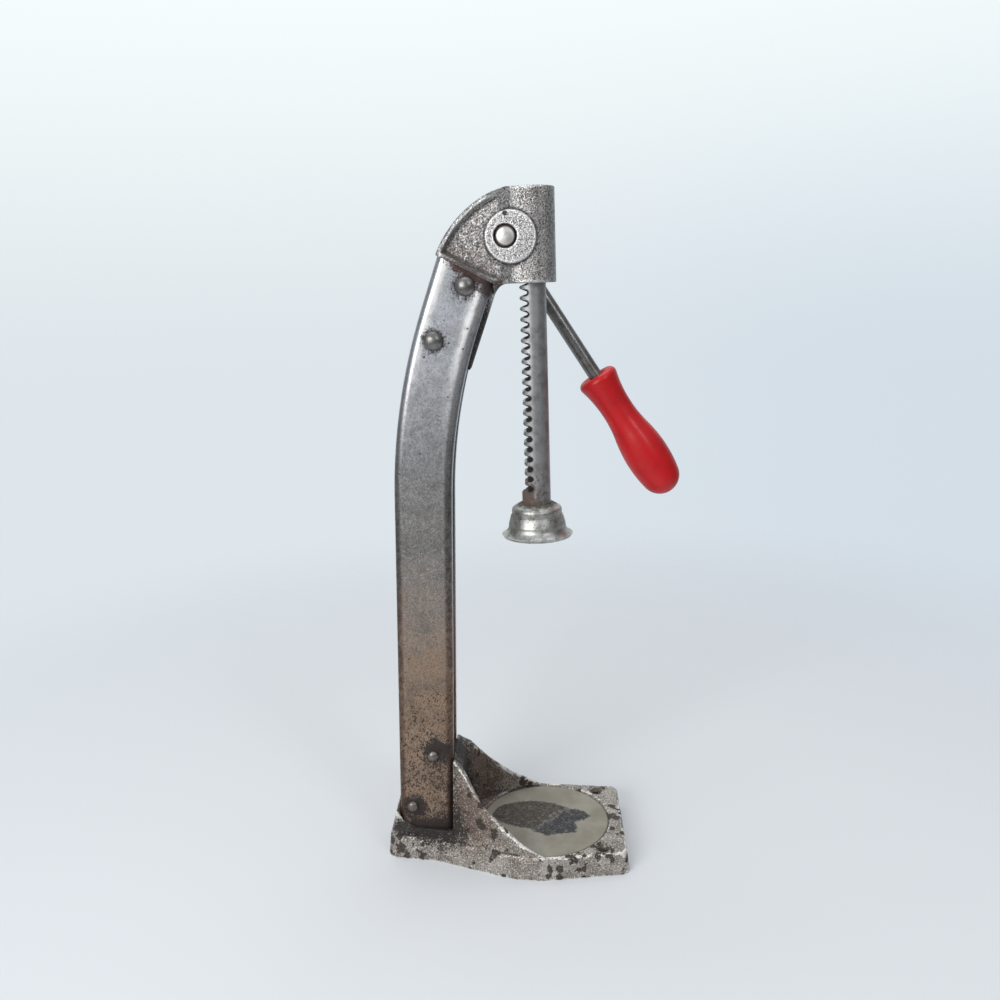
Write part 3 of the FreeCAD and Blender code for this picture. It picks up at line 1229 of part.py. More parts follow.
def make_hub():
    body = new_body("lever_hub")
    start = S["boss_half"] + S["flange_thick"] + S["washer_thick"] + 2.0 * S["washer_gap"]
    end = S["lever_y"] + S["hub_end"]
    bore_end = S["lever_y"] - S["lever_rod_r"] - S["shaft_cover"] + 0.2
    bore = S["journal_r"] + S["lever_fit"]
    r, c = S["hub_r"], S["hub_chamfer"]
    profile = sketch_on(body, "XZ_Plane", "hub_profile")
    loop(profile, [
        (bore, start), (r - c, start), (r, start + c), (r, end - c), (r - c, end), (0.0, end), (0.0, bore_end),
        (bore, bore_end),
    ])
    revolve(body, "hub_turned", profile)
    # The body's own x is turned along the lever, so both cross holes are drawn on its origin planes
    rod_hole = sketch_on(body, "YZ_Plane", "rod_hole_place")
    ring(rod_hole, 0.0, S["lever_y"], S["lever_rod_r"] + S["lever_fit"])
    pocket(body, "rod_hole", rod_hole, symmetric=True)
    pin_hole = sketch_on(body, "XZ_Plane", "pin_hole_place")
    ring(pin_hole, 0.0, S["hub_pin_y"], S["hub_pin_r"] + S["lever_fit"])
    pocket(body, "pin_hole", pin_hole, symmetric=True)
    turn = FreeCAD.Rotation(Y_AXIS, S["lever_angle"].value).multiply(FreeCAD.Rotation(X_AXIS, -90))
    body.Placement = FreeCAD.Placement(V(0, 0, 0), turn)
    bind(body, "Placement.Base.x", shaft_x)
    bind(body, "Placement.Base.z", S["shaft_z"])
    return body


def make_hub_pin():
    body = new_body("hub_pin")
    half = S["hub_r"] + S["hub_pin_proud"]
    profile = sketch_on(body, "XZ_Plane", "hub_pin_profile")
    loop(profile, [
        (0.0, -half), (S["hub_pin_r"] - 0.3, -half), (S["hub_pin_r"], -half + 0.3), (S["hub_pin_r"], half - 0.3),
        (S["hub_pin_r"] - 0.3, half), (0.0, half),
    ])
    revolve(body, "hub_pin_turned", profile)
    body.Placement = FreeCAD.Placement(V(0, 0, 0), FreeCAD.Rotation(Y_AXIS, 90))
    bind(body, "Placement.Rotation.Angle", S["lever_angle"])
    bind(body, "Placement.Base.x", shaft_x)
    bind(body, "Placement.Base.y", S["hub_pin_y"])
    bind(body, "Placement.Base.z", S["shaft_z"])
    return body


def make_lever_rod():
    body = new_body("lever_rod")
    r = S["lever_rod_r"]
    end = S["grip_start"] + S["grip_bore"] - 1.0
    profile = sketch_on(body, "XZ_Plane", "lever_rod_profile")
    loop(profile, [
        (0.0, -S["hub_r"] - 0.4), (r - 0.8, -S["hub_r"] - 0.4), (r, -S["hub_r"] + 0.4), (r, end - 0.8),
        (r - 0.8, end), (0.0, end),
    ])
    revolve(body, "lever_rod_turned", profile)
    lever_placement(body)
    return body


def make_lever_nut():
    body = new_body("lever_nut")
    corner = S["nut_flats"] / root(as_size(3.0))
    plan = sketch_on(body, "XY_Plane", "nut_plan", S["hub_r"] + S["nut_gap"])
    corners = [(corner * math.cos(math.radians(60.0 * i)), corner * math.sin(math.radians(60.0 * i)))
               for i in range(6)]
    loop(plan, corners)
    ring(plan, 0.0, 0.0, S["lever_rod_r"] + S["lever_fit"])
    pad(body, "nut_block", plan, S["nut_thick"])
    bevel = sketch_on(body, "XZ_Plane", "nut_bevel")
    top = S["hub_r"] + S["nut_gap"] + S["nut_thick"]
    flats = S["nut_flats"] / 2.0
    loop(bevel, [(flats, top), (flats + 3.0, top - 1.7), (flats + 3.0, top + 1.0), (flats, top + 1.0)])
    revolve(body, "nut_bevelled", bevel, kind="Groove")
    lever_placement(body)
    return body


def make_grip():
    body = new_body("lever_handle")
    s = S["grip_start"]
    bore = S["lever_rod_r"] + S["lever_fit"]
    profile = sketch_on(body, "XZ_Plane", "grip_profile")
    loop(profile, [
        (bore, s + S["grip_bore"]), (bore, s + S["grip_dish"]), (S["grip_dish_r"], s + S["grip_dish"], 8.0),
        (S["grip_lip_r"], s, S["grip_bead_r"]), (S["grip_flare_r"], s + S["grip_flare"], -S["grip_neck_curve"]),
        (S["grip_neck_end_r"], s + S["grip_neck_end"], S["grip_belly_curve"]),
        (S["grip_belly_end_r"], s + S["grip_belly_end"], grip_cap_curve),
        (0.0, s + S["grip_length"]), (0.0, s + S["grip_bore"]),
    ])
    revolve(body, "grip_turned", profile)
    lever_placement(body)
    return body


make_base()
make_seat_pad()
make_column()
for rivet_name, (rivet_x, rivet_z, rivet_kind) in RIVETS.items():
    make_rivet(rivet_name, rivet_x, rivet_z, rivet_kind)
make_head()
make_rod()
make_bell()
make_bell_washer()
make_bell_screw()
make_bearings()
make_pinion_shaft()
make_hub()
make_hub_pin()
make_lever_rod()
make_lever_nut()
make_grip()
doc.recompute()

NODES = [
    "base_casting", "seat_pad", "column", "head_casting", "base_rivet_lower", "base_rivet_upper",
    "head_rivet_lower", "head_rivet_upper", "near_bush", "far_bush", "rack_rod", "crimping_bell", "bell_washer",
    "bell_screw", "pinion_shaft", "thrust_washer", "lever_hub", "hub_pin", "lever_rod", "lever_nut", "lever_handle",
]

for item in doc.Objects:
    if any(word in item.State for word in ("Invalid", "Error")):
        failures.append(f"{item.Name} {item.State}")
for name in NODES:
    shape = doc.getObject(name).Shape
    if shape.isNull() or not shape.isValid() or len(shape.Solids) != 1:
        failures.append(f"{name} has a bad shape")
if failures:
    raise SystemExit("failed: " + ", ".join(failures))

os.makedirs("parts", exist_ok=True)
for name in NODES:
    doc.getObject(name).Shape.exportStep(f"parts/{name}.step")
    print(name, round(doc.getObject(name).Shape.Volume, 1))
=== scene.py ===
"""Looks of the bottle capper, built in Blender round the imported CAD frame.

Lengths in the size classes are millimetres in the row frame: X from the column to the bottle, Y to the
lever's side and Z up. Meshes are written in metres. Every piece has its origin at the row's origin.
"""
import logging
import math
from dataclasses import dataclass
from enum import Enum
from typing import Iterable, Optional, Sequence

import bmesh
import bpy
import numpy as np
from mathutils import Matrix, Vector


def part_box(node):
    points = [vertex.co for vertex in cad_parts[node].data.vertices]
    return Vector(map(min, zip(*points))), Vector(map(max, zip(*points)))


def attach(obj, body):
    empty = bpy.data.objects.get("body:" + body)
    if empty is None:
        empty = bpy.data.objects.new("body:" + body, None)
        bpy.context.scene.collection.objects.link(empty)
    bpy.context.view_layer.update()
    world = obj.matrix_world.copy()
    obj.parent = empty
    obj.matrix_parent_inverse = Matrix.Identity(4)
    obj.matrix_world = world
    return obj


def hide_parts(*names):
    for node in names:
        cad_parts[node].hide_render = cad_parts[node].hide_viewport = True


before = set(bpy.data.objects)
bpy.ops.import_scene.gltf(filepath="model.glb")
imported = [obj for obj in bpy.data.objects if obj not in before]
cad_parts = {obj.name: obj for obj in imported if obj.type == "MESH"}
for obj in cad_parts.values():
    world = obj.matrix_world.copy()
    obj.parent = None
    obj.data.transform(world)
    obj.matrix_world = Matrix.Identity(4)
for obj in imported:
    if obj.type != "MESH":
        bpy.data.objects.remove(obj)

log = logging.getLogger("capper")

MM = 0.001
THROUGH = 900.0  # reach in millimetres of a stain that runs from side to side
SMOOTH_DEG = 40.0  # edges flatter than this are smooth
MERGE_TURNED = 1e-7  # in metres, for meshes made here
MERGE_CAST = 1e-6  # in metres, for meshes of the CAD frame
Point = tuple[float, float, float]
Colour = tuple[float, float, float]
Corner = tuple[float, ...]


class Slot(str, Enum):
    """Material slots of the record."""

    FOOT = "cast_foot"
    HEAD = "cast_head"
    CHANNEL = "channel_steel"
    RIVET = "rivet_steel"
    BRONZE = "bearing_bronze"
    ROD = "rod_steel"
    BELL = "bell_plate"
    HUB = "hub_steel"
    GRIP = "grip_red"
    PAD = "pad_lino"


class Body(str, Enum):
    """Bodies of the CAD frame."""

    FRAME = "frame"
    PLUNGER = "plunger"
    LEVER = "lever"


def tone(red: float, green: float, blue: float) -> Colour:
    """Linear colour of a display colour.

    Args:
        red: Red from 0 to 255.
        green: Green from 0 to 255.
        blue: Blue from 0 to 255.

    Returns:
        The three linear values.
    """
    def linear(value: float) -> float:
        share = value / 255.0
        return share / 12.92 if share <= 0.04045 else ((share + 0.055) / 1.055) ** 2.4

    return linear(red), linear(green), linear(blue)


class Graph:
    """A node tree with short methods for the nodes that the finishes use."""

    def __init__(self, tree: bpy.types.NodeTree) -> None:
        """Empties the tree.

        Args:
            tree: The tree to fill.
        """
        self.tree = tree
        tree.nodes.clear()

    def feed(self, socket: bpy.types.NodeSocket, value: object) -> None:
        """Links a socket or sets its value.

        Args:
            socket: The input.
            value: Another socket, a number or a tuple.
        """
        if isinstance(value, bpy.types.NodeSocket):
            self.tree.links.new(value, socket)
        elif socket.type == "RGBA" and len(value) == 3:
            socket.default_value = (*value, 1.0)
        else:
            socket.default_value = value

    def add(self, kind: str, inputs: Optional[dict] = None, **settings: object) -> bpy.types.Node:
        """Adds a node.

        Args:
            kind: Blender's name of the node type.
            inputs: Values or sockets for its inputs, by name or number.
            settings: Properties of the node.

        Returns:
            The new node.
        """
        node = self.tree.nodes.new(kind)
        for key, value in settings.items():
            setattr(node, key, value)
        for key, value in (inputs or {}).items():
            self.feed(node.inputs[key], value)
        return node

    def place(self) -> bpy.types.NodeSocket:
        """Gives the object coordinates, in metres."""
        return self.add("ShaderNodeTexCoord").outputs["Object"]

    def attribute(self, name: str) -> bpy.types.NodeSocket:
        """Reads a number stored on the mesh."""
        return self.add("ShaderNodeAttribute", attribute_name=name).outputs["Fac"]

    def calc(self, operation: str, first: object, second: object = 0.0) -> bpy.types.NodeSocket:
        """Does a sum on numbers or sockets."""
        return self.add("ShaderNodeMath", {0: first, 1: second}, operation=operation).outputs[0]

    def times(self, first: object, second: object) -> bpy.types.NodeSocket:
        """Multiplies two numbers."""
        return self.calc("MULTIPLY", first, second)

    def plus(self, first: object, second: object) -> bpy.types.NodeSocket:
        """Adds two numbers."""
        return self.calc("ADD", first, second)

    def minus(self, first: object, second: object) -> bpy.types.NodeSocket:
        """Takes the second number from the first."""
        return self.calc("SUBTRACT", first, second)

    def most(self, first: object, second: object) -> bpy.types.NodeSocket:
        """Picks the larger of two numbers."""
        return self.calc("MAXIMUM", first, second)

    def vector(self, operation: str, first: object, second: object = (0.0, 0.0, 0.0)) -> bpy.types.Node:
        """Does a sum on vectors; output 0 is the vector and output 1 the number."""
        return self.add("ShaderNodeVectorMath", {0: first, 1: second}, operation=operation)

    def noise(
        self, where: object, size: float, detail: float = 2.0, rough: float = 0.5,
    ) -> bpy.types.NodeSocket:
        """Adds cloudy noise about 0.5, with features of a size in millimetres."""
        values = {"Vector": where, "Scale": 1.0 / (size * MM), "Detail": detail, "Roughness": rough}
        return self.add("ShaderNodeTexNoise", values).outputs[0]

    def cells(self, where: object, size: float) -> bpy.types.NodeSocket:
        """Gives the distance to the nearest point of cells of a size in millimetres."""
        values = {"Vector": where, "Scale": 1.0 / (size * MM)}
        return self.add("ShaderNodeTexVoronoi", values, feature="F1").outputs[0]

    def remap(
        self, value: object, low: float, high: float, bottom: float = 0.0, top: float = 1.0,
    ) -> bpy.types.NodeSocket:
        """Moves the range low to high smoothly to bottom to top, and holds it between them."""
        values = {"Value": value, "From Min": low, "From Max": high, "To Min": bottom, "To Max": top}
        return self.add("ShaderNodeMapRange", values, interpolation_type="SMOOTHSTEP").outputs[0]

    def blend(self, share: object, first: object, second: object, mode: str = "MIX") -> bpy.types.NodeSocket:
        """Mixes a share of the second colour into the first."""
        values = {0: share, 6: first, 7: second}
        return self.add("ShaderNodeMix", values, data_type="RGBA", blend_type=mode).outputs[2]

    def bump(
        self, height: object, depth: float, normal: Optional[bpy.types.NodeSocket] = None,
    ) -> bpy.types.NodeSocket:
        """Bends the normal by a height.

        Args:
            height: Height from 0 to 1.
            depth: Depth in millimetres.
            normal: A normal that is already bent.

        Returns:
            The normal.
        """
        node = self.add("ShaderNodeBump", {"Strength": 1.0, "Distance": depth * MM, "Height": height})
        if normal is not None:
            self.feed(node.inputs["Normal"], normal)
        return node.outputs[0]


@dataclass(frozen=True)
class Stain:
    """A ragged patch of another colour round a place.

    Attributes:
        centre: Its middle in millimetres.
        radii: Its reach along the three axes in millimetres.
        colour: Its colour.
        strength: How much it covers.
        ragged: How uneven its border is.
        lean: Its turn about the Y axis in degrees.
    """

    centre: Point
    radii: Point
    colour: Colour
    strength: float = 0.8
    ragged: float = 1.0
    lean: float = 0.0

    def factor(self, graph: Graph, where: object, noise: object) -> bpy.types.NodeSocket:
        """Builds the nodes for how much the stain covers.

        Args:
            graph: The tree.
            where: Coordinates in metres.
            noise: Noise about 0.5.

        Returns:
            The share, from 0 to the strength.
        """
        centre = tuple(c * MM for c in self.centre)
        radii = tuple(r * MM for r in self.radii)
        moved = graph.vector("SUBTRACT", where, centre).outputs[0]
        if self.lean:
            values = {"Vector": moved, "Angle": math.radians(self.lean)}
            moved = graph.add("ShaderNodeVectorRotate", values, rotation_type="Y_AXIS").outputs[0]
        scaled = graph.vector("DIVIDE", moved, radii).outputs[0]
        reach = graph.vector("LENGTH", scaled).outputs[1]
        uneven = graph.times(graph.minus(noise, 0.5), self.ragged * 2.0)
        return graph.remap(graph.plus(reach, uneven), 1.05, 0.6, 0.0, self.strength)


class Finish:
    """Base of the finishes: each makes one procedural material.

    Attributes:
        name: Name of the material.
    """

    name: str

    def paint(self, graph: Graph, shader: bpy.types.Node) -> None:
        """Fills the tree.

        Args:
            graph: The tree.
            shader: Its principled shader.
        """
        raise NotImplementedError

    def material(self) -> bpy.types.Material:
        """Returns:
            The material, made once.
        """
        known = bpy.data.materials.get(self.name)
        if known is not None:
            return known
        made = bpy.data.materials.new(self.name)
        made.use_nodes = True
        graph = Graph(made.node_tree)
        shader = graph.add("ShaderNodeBsdfPrincipled")
        output = graph.add("ShaderNodeOutputMaterial")
        graph.feed(output.inputs["Surface"], shader.outputs[0])
        self.paint(graph, shader)
        return made


def stained(
    graph: Graph, colour: object, stains: Iterable[Stain], where: object, noise: object,
) -> tuple[object, object]:
    """Lays stains over a colour.

    Args:
        graph: The tree.
        colour: The colour below.
        stains: The stains in order.
        where: Coordinates in metres.
        noise: Noise about 0.5.

    Returns:
        The stained colour, and how much of it is covered.
    """
    covered: object = 0.0
    for stain in stains:
        share = stain.factor(graph, where, noise)
        colour = graph.blend(share, colour, stain.colour)
        covered = graph.most(covered, share)
    return colour, covered


@dataclass(frozen=True)
class CastFinish(Finish):
    """Rough cast metal: grain, speckles and painted glints, edges that are partly worn and partly painted
    highlight, painted shade in hollows and creases, pits and stains.

    Attributes:
        name: Name of the material.
        light: Lighter tone of the skin.
        deep: Darker tone of the skin.
        wear_and_highlight: Colour of the bright edges, partly wear and partly painted highlight, and of the
            painted glints.
        pit_and_shade: Colour of the pits, also used for the painted shade in hollows and creases.
        grain: Size of the grain in millimetres.
        relief: Depth of the grain in millimetres.
        pit_size: Size of the pits' cells in millimetres.
        pit_share: Share of the cells that hold a pit.
        metallic: How metallic it is.
        roughness: Roughness of the skin.
        edge_low: How proud a place stands where the bright edges start, in millimetres.
        broken: How broken the bright edges are.
        rubbed: How much the bright edges show.
        shade: How dark the painted shade in the creases is.
        contrast: How dark the grain's hollows are.
        sparkle: Strength of the painted glints on the grain's tops.
        sunk: Darker tint of sunk faces, painted shade of the recess.
        flank: Darker tint of the narrow outer flank, painted shade where it turns away.
        sideways: How much the bright edges keep to faces that look sideways.
        calm: Places where the painted shade in the creases stays faint.
        stains: Stains laid over it, and patches of painted shade.
    """

    name: str
    light: Colour
    deep: Colour
    wear_and_highlight: Colour
    pit_and_shade: Colour
    grain: float
    relief: float
    pit_size: float
    pit_share: float
    metallic: float
    roughness: float
    edge_low: float
    broken: float
    rubbed: float
    shade: float
    contrast: float
    sparkle: float
    sunk: Colour = (1.0, 1.0, 1.0)
    flank: Colour = (1.0, 1.0, 1.0)
    sideways: float = 0.0
    calm: tuple[Stain, ...] = ()
    stains: tuple[Stain, ...] = ()

    def paint(self, graph: Graph, shader: bpy.types.Node) -> None:
        """Fills the tree.

        Args:
            graph: The tree.
            shader: Its principled shader.
        """
        where = graph.place()
        fine = graph.noise(where, self.grain, 2.0, 0.55)
        cloud = graph.noise(where, 14.0, 5.0, 0.6)
        uneven = graph.noise(where, 3.4, 5.0, 0.68)
        swing = graph.minus(uneven, 0.5)
        colour = graph.blend(graph.remap(cloud, 0.35, 0.65), self.deep, self.light)
        colour = graph.blend(graph.remap(fine, 0.52, 0.34, 0.0, self.contrast), colour, self.pit_and_shade)
        # Painted glints on the grain's tops.
        speck = graph.remap(fine, 0.54, 0.68, 0.0, self.sparkle)
        colour = graph.blend(speck, colour, self.wear_and_highlight)
        # Painted shade: sunk faces darker as in a recess, and the outer flank darker where it turns away.
        colour = graph.blend(graph.attribute("sunk"), colour, self.sunk, "MULTIPLY")
        colour = graph.blend(graph.attribute("flank"), colour, self.flank, "MULTIPLY")
        # Painted shade in the hollows and creases.
        edge = graph.attribute("edge")
        broad = graph.remap(graph.plus(edge, graph.times(swing, 0.35)), -0.1, -0.6, 0.0, 0.45)
        crease = graph.plus(graph.attribute("crease"), graph.times(swing, 0.12))
        narrow = graph.remap(crease, -0.06, -0.2)
        for place in self.calm:
            narrow = graph.times(narrow, graph.minus(1.0, place.factor(graph, where, 0.5)))
        hollow = graph.most(broad, narrow)
        hollow = graph.times(hollow, self.shade)
        colour = graph.blend(hollow, colour, self.pit_and_shade)
        # Bright edges: partly wear, partly painted highlight.
        broken = graph.plus(edge, graph.times(swing, self.broken))
        broken = graph.plus(broken, graph.times(graph.minus(fine, 0.5), 0.7))
        wear_and_highlight = graph.remap(broken, self.edge_low, self.edge_low + 0.16)
        facing = graph.remap(graph.attribute("facing"), 0.45, 0.85, 1.0 - self.sideways, 1.0)
        wear_and_highlight = graph.times(wear_and_highlight, graph.times(facing, graph.remap(graph.attribute("flank"), 0.6, 0.2)))
        colour = graph.blend(graph.times(wear_and_highlight, self.rubbed), colour, self.wear_and_highlight)
        grit = graph.plus(graph.times(uneven, 0.7), graph.times(fine, 0.3))
        colour, patch_share = stained(graph, colour, self.stains, where, grit)
        # Painted glints, laid again over the stains.
        glint = graph.remap(fine, 0.57, 0.7, 0.0, self.sparkle * 0.8)
        glint = graph.times(glint, graph.remap(patch_share, 0.75, 0.95, 1.0, 0.15))
        colour = graph.blend(glint, colour, self.wear_and_highlight)
        cell = graph.cells(where, self.pit_size)
        few = graph.noise(where, 21.0, 2.0, 0.5)
        limit = graph.remap(few, 0.4, 0.62, 0.0, self.pit_share)
        gap = graph.minus(limit, graph.plus(cell, graph.times(swing, 1.5)))
        pits = graph.remap(gap, 0.0, 0.06)
        colour = graph.blend(graph.times(pits, 0.9), colour, self.pit_and_shade)
        graph.feed(shader.inputs["Base Color"], colour)
        matte_share = graph.most(graph.most(pits, hollow), graph.remap(patch_share, 0.5, 0.95))
        graph.feed(shader.inputs["Metallic"], graph.remap(matte_share, 0.0, 1.0, self.metallic, 0.15))
        rough = graph.remap(fine, 0.3, 0.7, self.roughness + 0.12, self.roughness - 0.08)
        graph.feed(shader.inputs["Roughness"], graph.plus(rough, graph.times(matte_share, 0.25)))
        normal = graph.bump(graph.minus(1.0, pits), 0.5)
        normal = graph.bump(uneven, self.relief, normal)
        graph.feed(shader.inputs["Normal"], graph.bump(fine, self.relief, normal))


@dataclass(frozen=True)
class ChannelFinish(Finish):
    """Worn steel of the column, bright above and brown and pitted below: partly rust and partly painted
    reflection.

    Attributes:
        name: Name of the material.
        above: Colour of the upper part, partly a painted reflection of a bluish-grey room.
        below: Colour of the lower part, partly rust and partly a painted warm reflection.
        middle: Colour half way up.
        bright: Colour of the bands beside the corners, partly rubbed metal and partly painted highlight.
        dark: Colour of the pits.
        corner_dark: Colour of the darker corners lower down.
        stains: Stains round the rivets and the foot.
    """

    name: str
    above: Colour
    middle: Colour
    below: Colour
    bright: Colour
    dark: Colour
    corner_dark: Colour
    stains: tuple[Stain, ...] = ()

    def paint(self, graph: Graph, shader: bpy.types.Node) -> None:
        """Fills the tree.

        Args:
            graph: The tree.
            shader: Its principled shader.
        """
        where = graph.place()
        height = graph.add("ShaderNodeSeparateXYZ", {0: where}).outputs["Z"]
        drawn = graph.vector("MULTIPLY", where, (1.0, 1.0, 0.12)).outputs[0]
        streak = graph.noise(drawn, 1.6, 4.0, 0.6)
        cloud = graph.noise(where, 16.0, 5.0, 0.62)
        uneven = graph.noise(where, 4.0, 5.0, 0.7)
        fine = graph.noise(where, 0.8, 2.0, 0.5)
        drift = graph.times(graph.minus(cloud, 0.5), 0.1)
        level = graph.plus(height, drift)
        # Colour by height: partly rust, partly painted reflection, browner below and bluer above.
        low = graph.remap(level, 0.235, 0.105)
        colour = graph.blend(graph.remap(level, 0.34, 0.22), self.above, self.middle)
        colour = graph.blend(low, colour, self.below)
        colour = graph.blend(graph.remap(cloud, 0.42, 0.7, 0.0, 0.3), colour, self.dark)
        colour = graph.blend(graph.remap(fine, 0.5, 0.34, 0.0, 0.3), colour, self.dark)
        flash = graph.times(graph.remap(fine, 0.54, 0.7, 0.0, 0.22), graph.remap(low, 0.0, 1.0, 1.0, 0.35))
        colour = graph.blend(flash, colour, self.bright)
        colour = graph.blend(graph.remap(streak, 0.5, 0.75, 0.0, 0.08), colour, self.bright)
        # Rounded corners darker, more so lower down.
        corner = graph.attribute("corner")
        ragged = graph.times(graph.remap(uneven, 0.35, 0.65, 0.6, 1.25), corner)
        corner_dark = graph.times(ragged, graph.remap(level, 0.36, 0.2, 0.12, 0.62))
        colour = graph.blend(corner_dark, colour, graph.blend(low, self.dark, self.corner_dark))
        # Bands beside the corners: partly rubbed metal, partly painted highlight.
        band = graph.times(graph.attribute("band"), graph.remap(height, 0.27, 0.37))
        band = graph.times(band, graph.remap(uneven, 0.34, 0.52, 0.7, 1.0))
        colour = graph.blend(band, colour, self.bright)
        grit = graph.plus(graph.times(uneven, 0.55), graph.times(fine, 0.45))
        colour, patch_share = stained(graph, colour, self.stains, where, grit)
        upright = graph.vector("MULTIPLY", where, (1.0, 1.0, 0.8)).outputs[0]
        marks = graph.noise(upright, 1.15, 2.5, 0.55)
        density = graph.remap(height, 0.185, 0.05, 0.0, 0.2)
        few = graph.remap(graph.noise(where, 15.0, 4.0, 0.6), 0.3, 0.7, -0.05, 0.05)
        over = graph.minus(graph.plus(graph.plus(marks, density), few), 0.735)
        single = graph.remap(graph.minus(0.085, graph.cells(where, 10.0)), 0.0, 0.03)
        pits = graph.most(graph.remap(over, 0.0, 0.04), single)
        colour = graph.blend(graph.times(pits, 0.85), colour, self.dark)
        graph.feed(shader.inputs["Base Color"], colour)
        matte_share = graph.most(pits, graph.remap(patch_share, 0.4, 0.9))
        metal = graph.remap(matte_share, 0.0, 1.0, 0.85, 0.1)
        graph.feed(shader.inputs["Metallic"], graph.times(metal, graph.remap(band, 0.3, 1.0, 1.0, 0.45)))
        rough = graph.plus(graph.remap(uneven, 0.3, 0.7, 0.28, 0.42), graph.times(low, 0.1))
        graph.feed(shader.inputs["Roughness"], graph.plus(rough, graph.times(matte_share, 0.35)))
        normal = graph.bump(graph.minus(1.0, pits), 0.18)
        normal = graph.bump(graph.noise(where, 3.0, 4.0, 0.6), 0.05, normal)
        graph.feed(shader.inputs["Normal"], graph.bump(streak, 0.02, normal))


@dataclass(frozen=True)
class TurnedFinish(Finish):
    """Turned or drawn metal with specks, dull patches and stains.

    Attributes:
        name: Name of the material.
        colour: Its colour.
        dull: Colour of dull patches.
        speck: Colour of the specks.
        metallic: How metallic it is.
        roughness: Its roughness.
        patchy: How much the dull patches cover.
        speck_share: How large the specks are.
        stains: Stains laid over it.
    """

    name: str
    colour: Colour
    dull: Colour
    speck: Colour
    metallic: float = 0.9
    roughness: float = 0.3
    patchy: float = 0.4
    speck_share: float = 0.14
    stains: tuple[Stain, ...] = ()

    def paint(self, graph: Graph, shader: bpy.types.Node) -> None:
        """Fills the tree.

        Args:
            graph: The tree.
            shader: Its principled shader.
        """
        where = graph.place()
        cloud = graph.noise(where, 7.0, 5.0, 0.65)
        uneven = graph.noise(where, 2.5, 4.0, 0.65)
        colour = graph.blend(graph.remap(cloud, 0.42, 0.68, 0.0, self.patchy), self.colour, self.dull)
        colour, patch_share = stained(graph, colour, self.stains, where, uneven)
        specks = graph.remap(graph.minus(self.speck_share, graph.cells(where, 1.7)), 0.0, 0.06)
        colour = graph.blend(graph.times(specks, 0.7), colour, self.speck)
        colour, dark_share = self.darkened(graph, colour, where)
        graph.feed(shader.inputs["Base Color"], colour)
        matte_share = graph.most(dark_share, graph.remap(patch_share, 0.4, 0.9))
        graph.feed(shader.inputs["Metallic"], graph.remap(matte_share, 0.0, 1.0, self.metallic, 0.1))
        rough = graph.remap(uneven, 0.3, 0.7, self.roughness, self.roughness + 0.12)
        graph.feed(shader.inputs["Roughness"], graph.plus(rough, graph.times(matte_share, 0.4)))
        graph.feed(shader.inputs["Normal"], graph.bump(uneven, 0.04))

    def darkened(self, graph: Graph, colour: object, where: object) -> tuple[object, object]:
        """Darkens parts of the colour, where this kind of piece needs it.

        Args:
            graph: The tree.
            colour: The clean colour.
            where: Coordinates in metres.

        Returns:
            The colour, and how much of it is darkened.
        """
        return colour, 0.0


@dataclass(frozen=True)
class RackFinish(TurnedFinish):
    """Steel of the toothed rod, darker in the gaps between the teeth.

    Attributes:
        dark_fill: Colour in the gaps.
        gap: Middle of the uppermost gap at the rod's rest, (x, z).
        pitch: Distance from gap to gap.
        count: Number of gaps.
        reach: Reach of the darkening, (x, z).
    """

    dark_fill: Colour = (0.01, 0.008, 0.006)
    gap: tuple[float, float] = (-3.9, 406.13)
    pitch: float = 6.28319
    count: int = 26
    reach: tuple[float, float] = (2.7, 2.2)

    def darkened(self, graph: Graph, colour: object, where: object) -> tuple[object, object]:
        """Darkens the gaps between the teeth.

        Args:
            graph: The tree.
            colour: The clean colour.
            where: Coordinates in metres.

        Returns:
            The colour, and how much of it is darkened.
        """
        axes = graph.add("ShaderNodeSeparateXYZ", {0: where})
        drop = graph.minus(self.gap[1] * MM, axes.outputs["Z"])
        number = graph.calc("ROUND", graph.calc("DIVIDE", drop, self.pitch * MM))
        number = graph.calc("MINIMUM", graph.most(number, 0.0), self.count - 1.0)
        along = graph.minus(drop, graph.times(number, self.pitch * MM))
        along = graph.calc("DIVIDE", along, self.reach[1] * MM)
        across = graph.minus(axes.outputs["X"], self.gap[0] * MM)
        across = graph.calc("DIVIDE", across, self.reach[0] * MM)
        gap = graph.add("ShaderNodeCombineXYZ", {0: along, 1: across}).outputs[0]
        away = graph.vector("LENGTH", gap).outputs[1]
        share = graph.remap(away, 1.15, 0.75)
        return graph.blend(share, colour, self.dark_fill), share


@dataclass(frozen=True)
class ShaftFinish(TurnedFinish):
    """Steel of the shaft, whose near end is bright, with painted shade on its rounded edge.

    Attributes:
        dark_fill: Colour of the painted shade on the edge.
        axis: Place of the shaft, (x, z).
        bright_r: Radius of the bright end.
        dark_r: Radius where the painted shade is darkest.
    """

    dark_fill: Colour = (0.02, 0.018, 0.016)
    axis: tuple[float, float] = (-14.1, 401.0)
    bright_r: float = 4.4
    dark_r: float = 5.4

    def darkened(self, graph: Graph, colour: object, where: object) -> tuple[object, object]:
        """Paints shade on the rounded edge of the end.

        Args:
            graph: The tree.
            colour: The clean colour.
            where: Coordinates in metres.

        Returns:
            The colour, and how much of it is dark.
        """
        middle = graph.vector("SUBTRACT", where, (self.axis[0] * MM, 0.0, self.axis[1] * MM)).outputs[0]
        flat = graph.vector("MULTIPLY", middle, (1.0, 0.0, 1.0)).outputs[0]
        away = graph.vector("LENGTH", flat).outputs[1]
        # Painted shade on the rounded edge.
        share = graph.remap(away, self.bright_r * MM, self.dark_r * MM, 0.0, 0.92)
        return graph.blend(share, colour, self.dark_fill), share


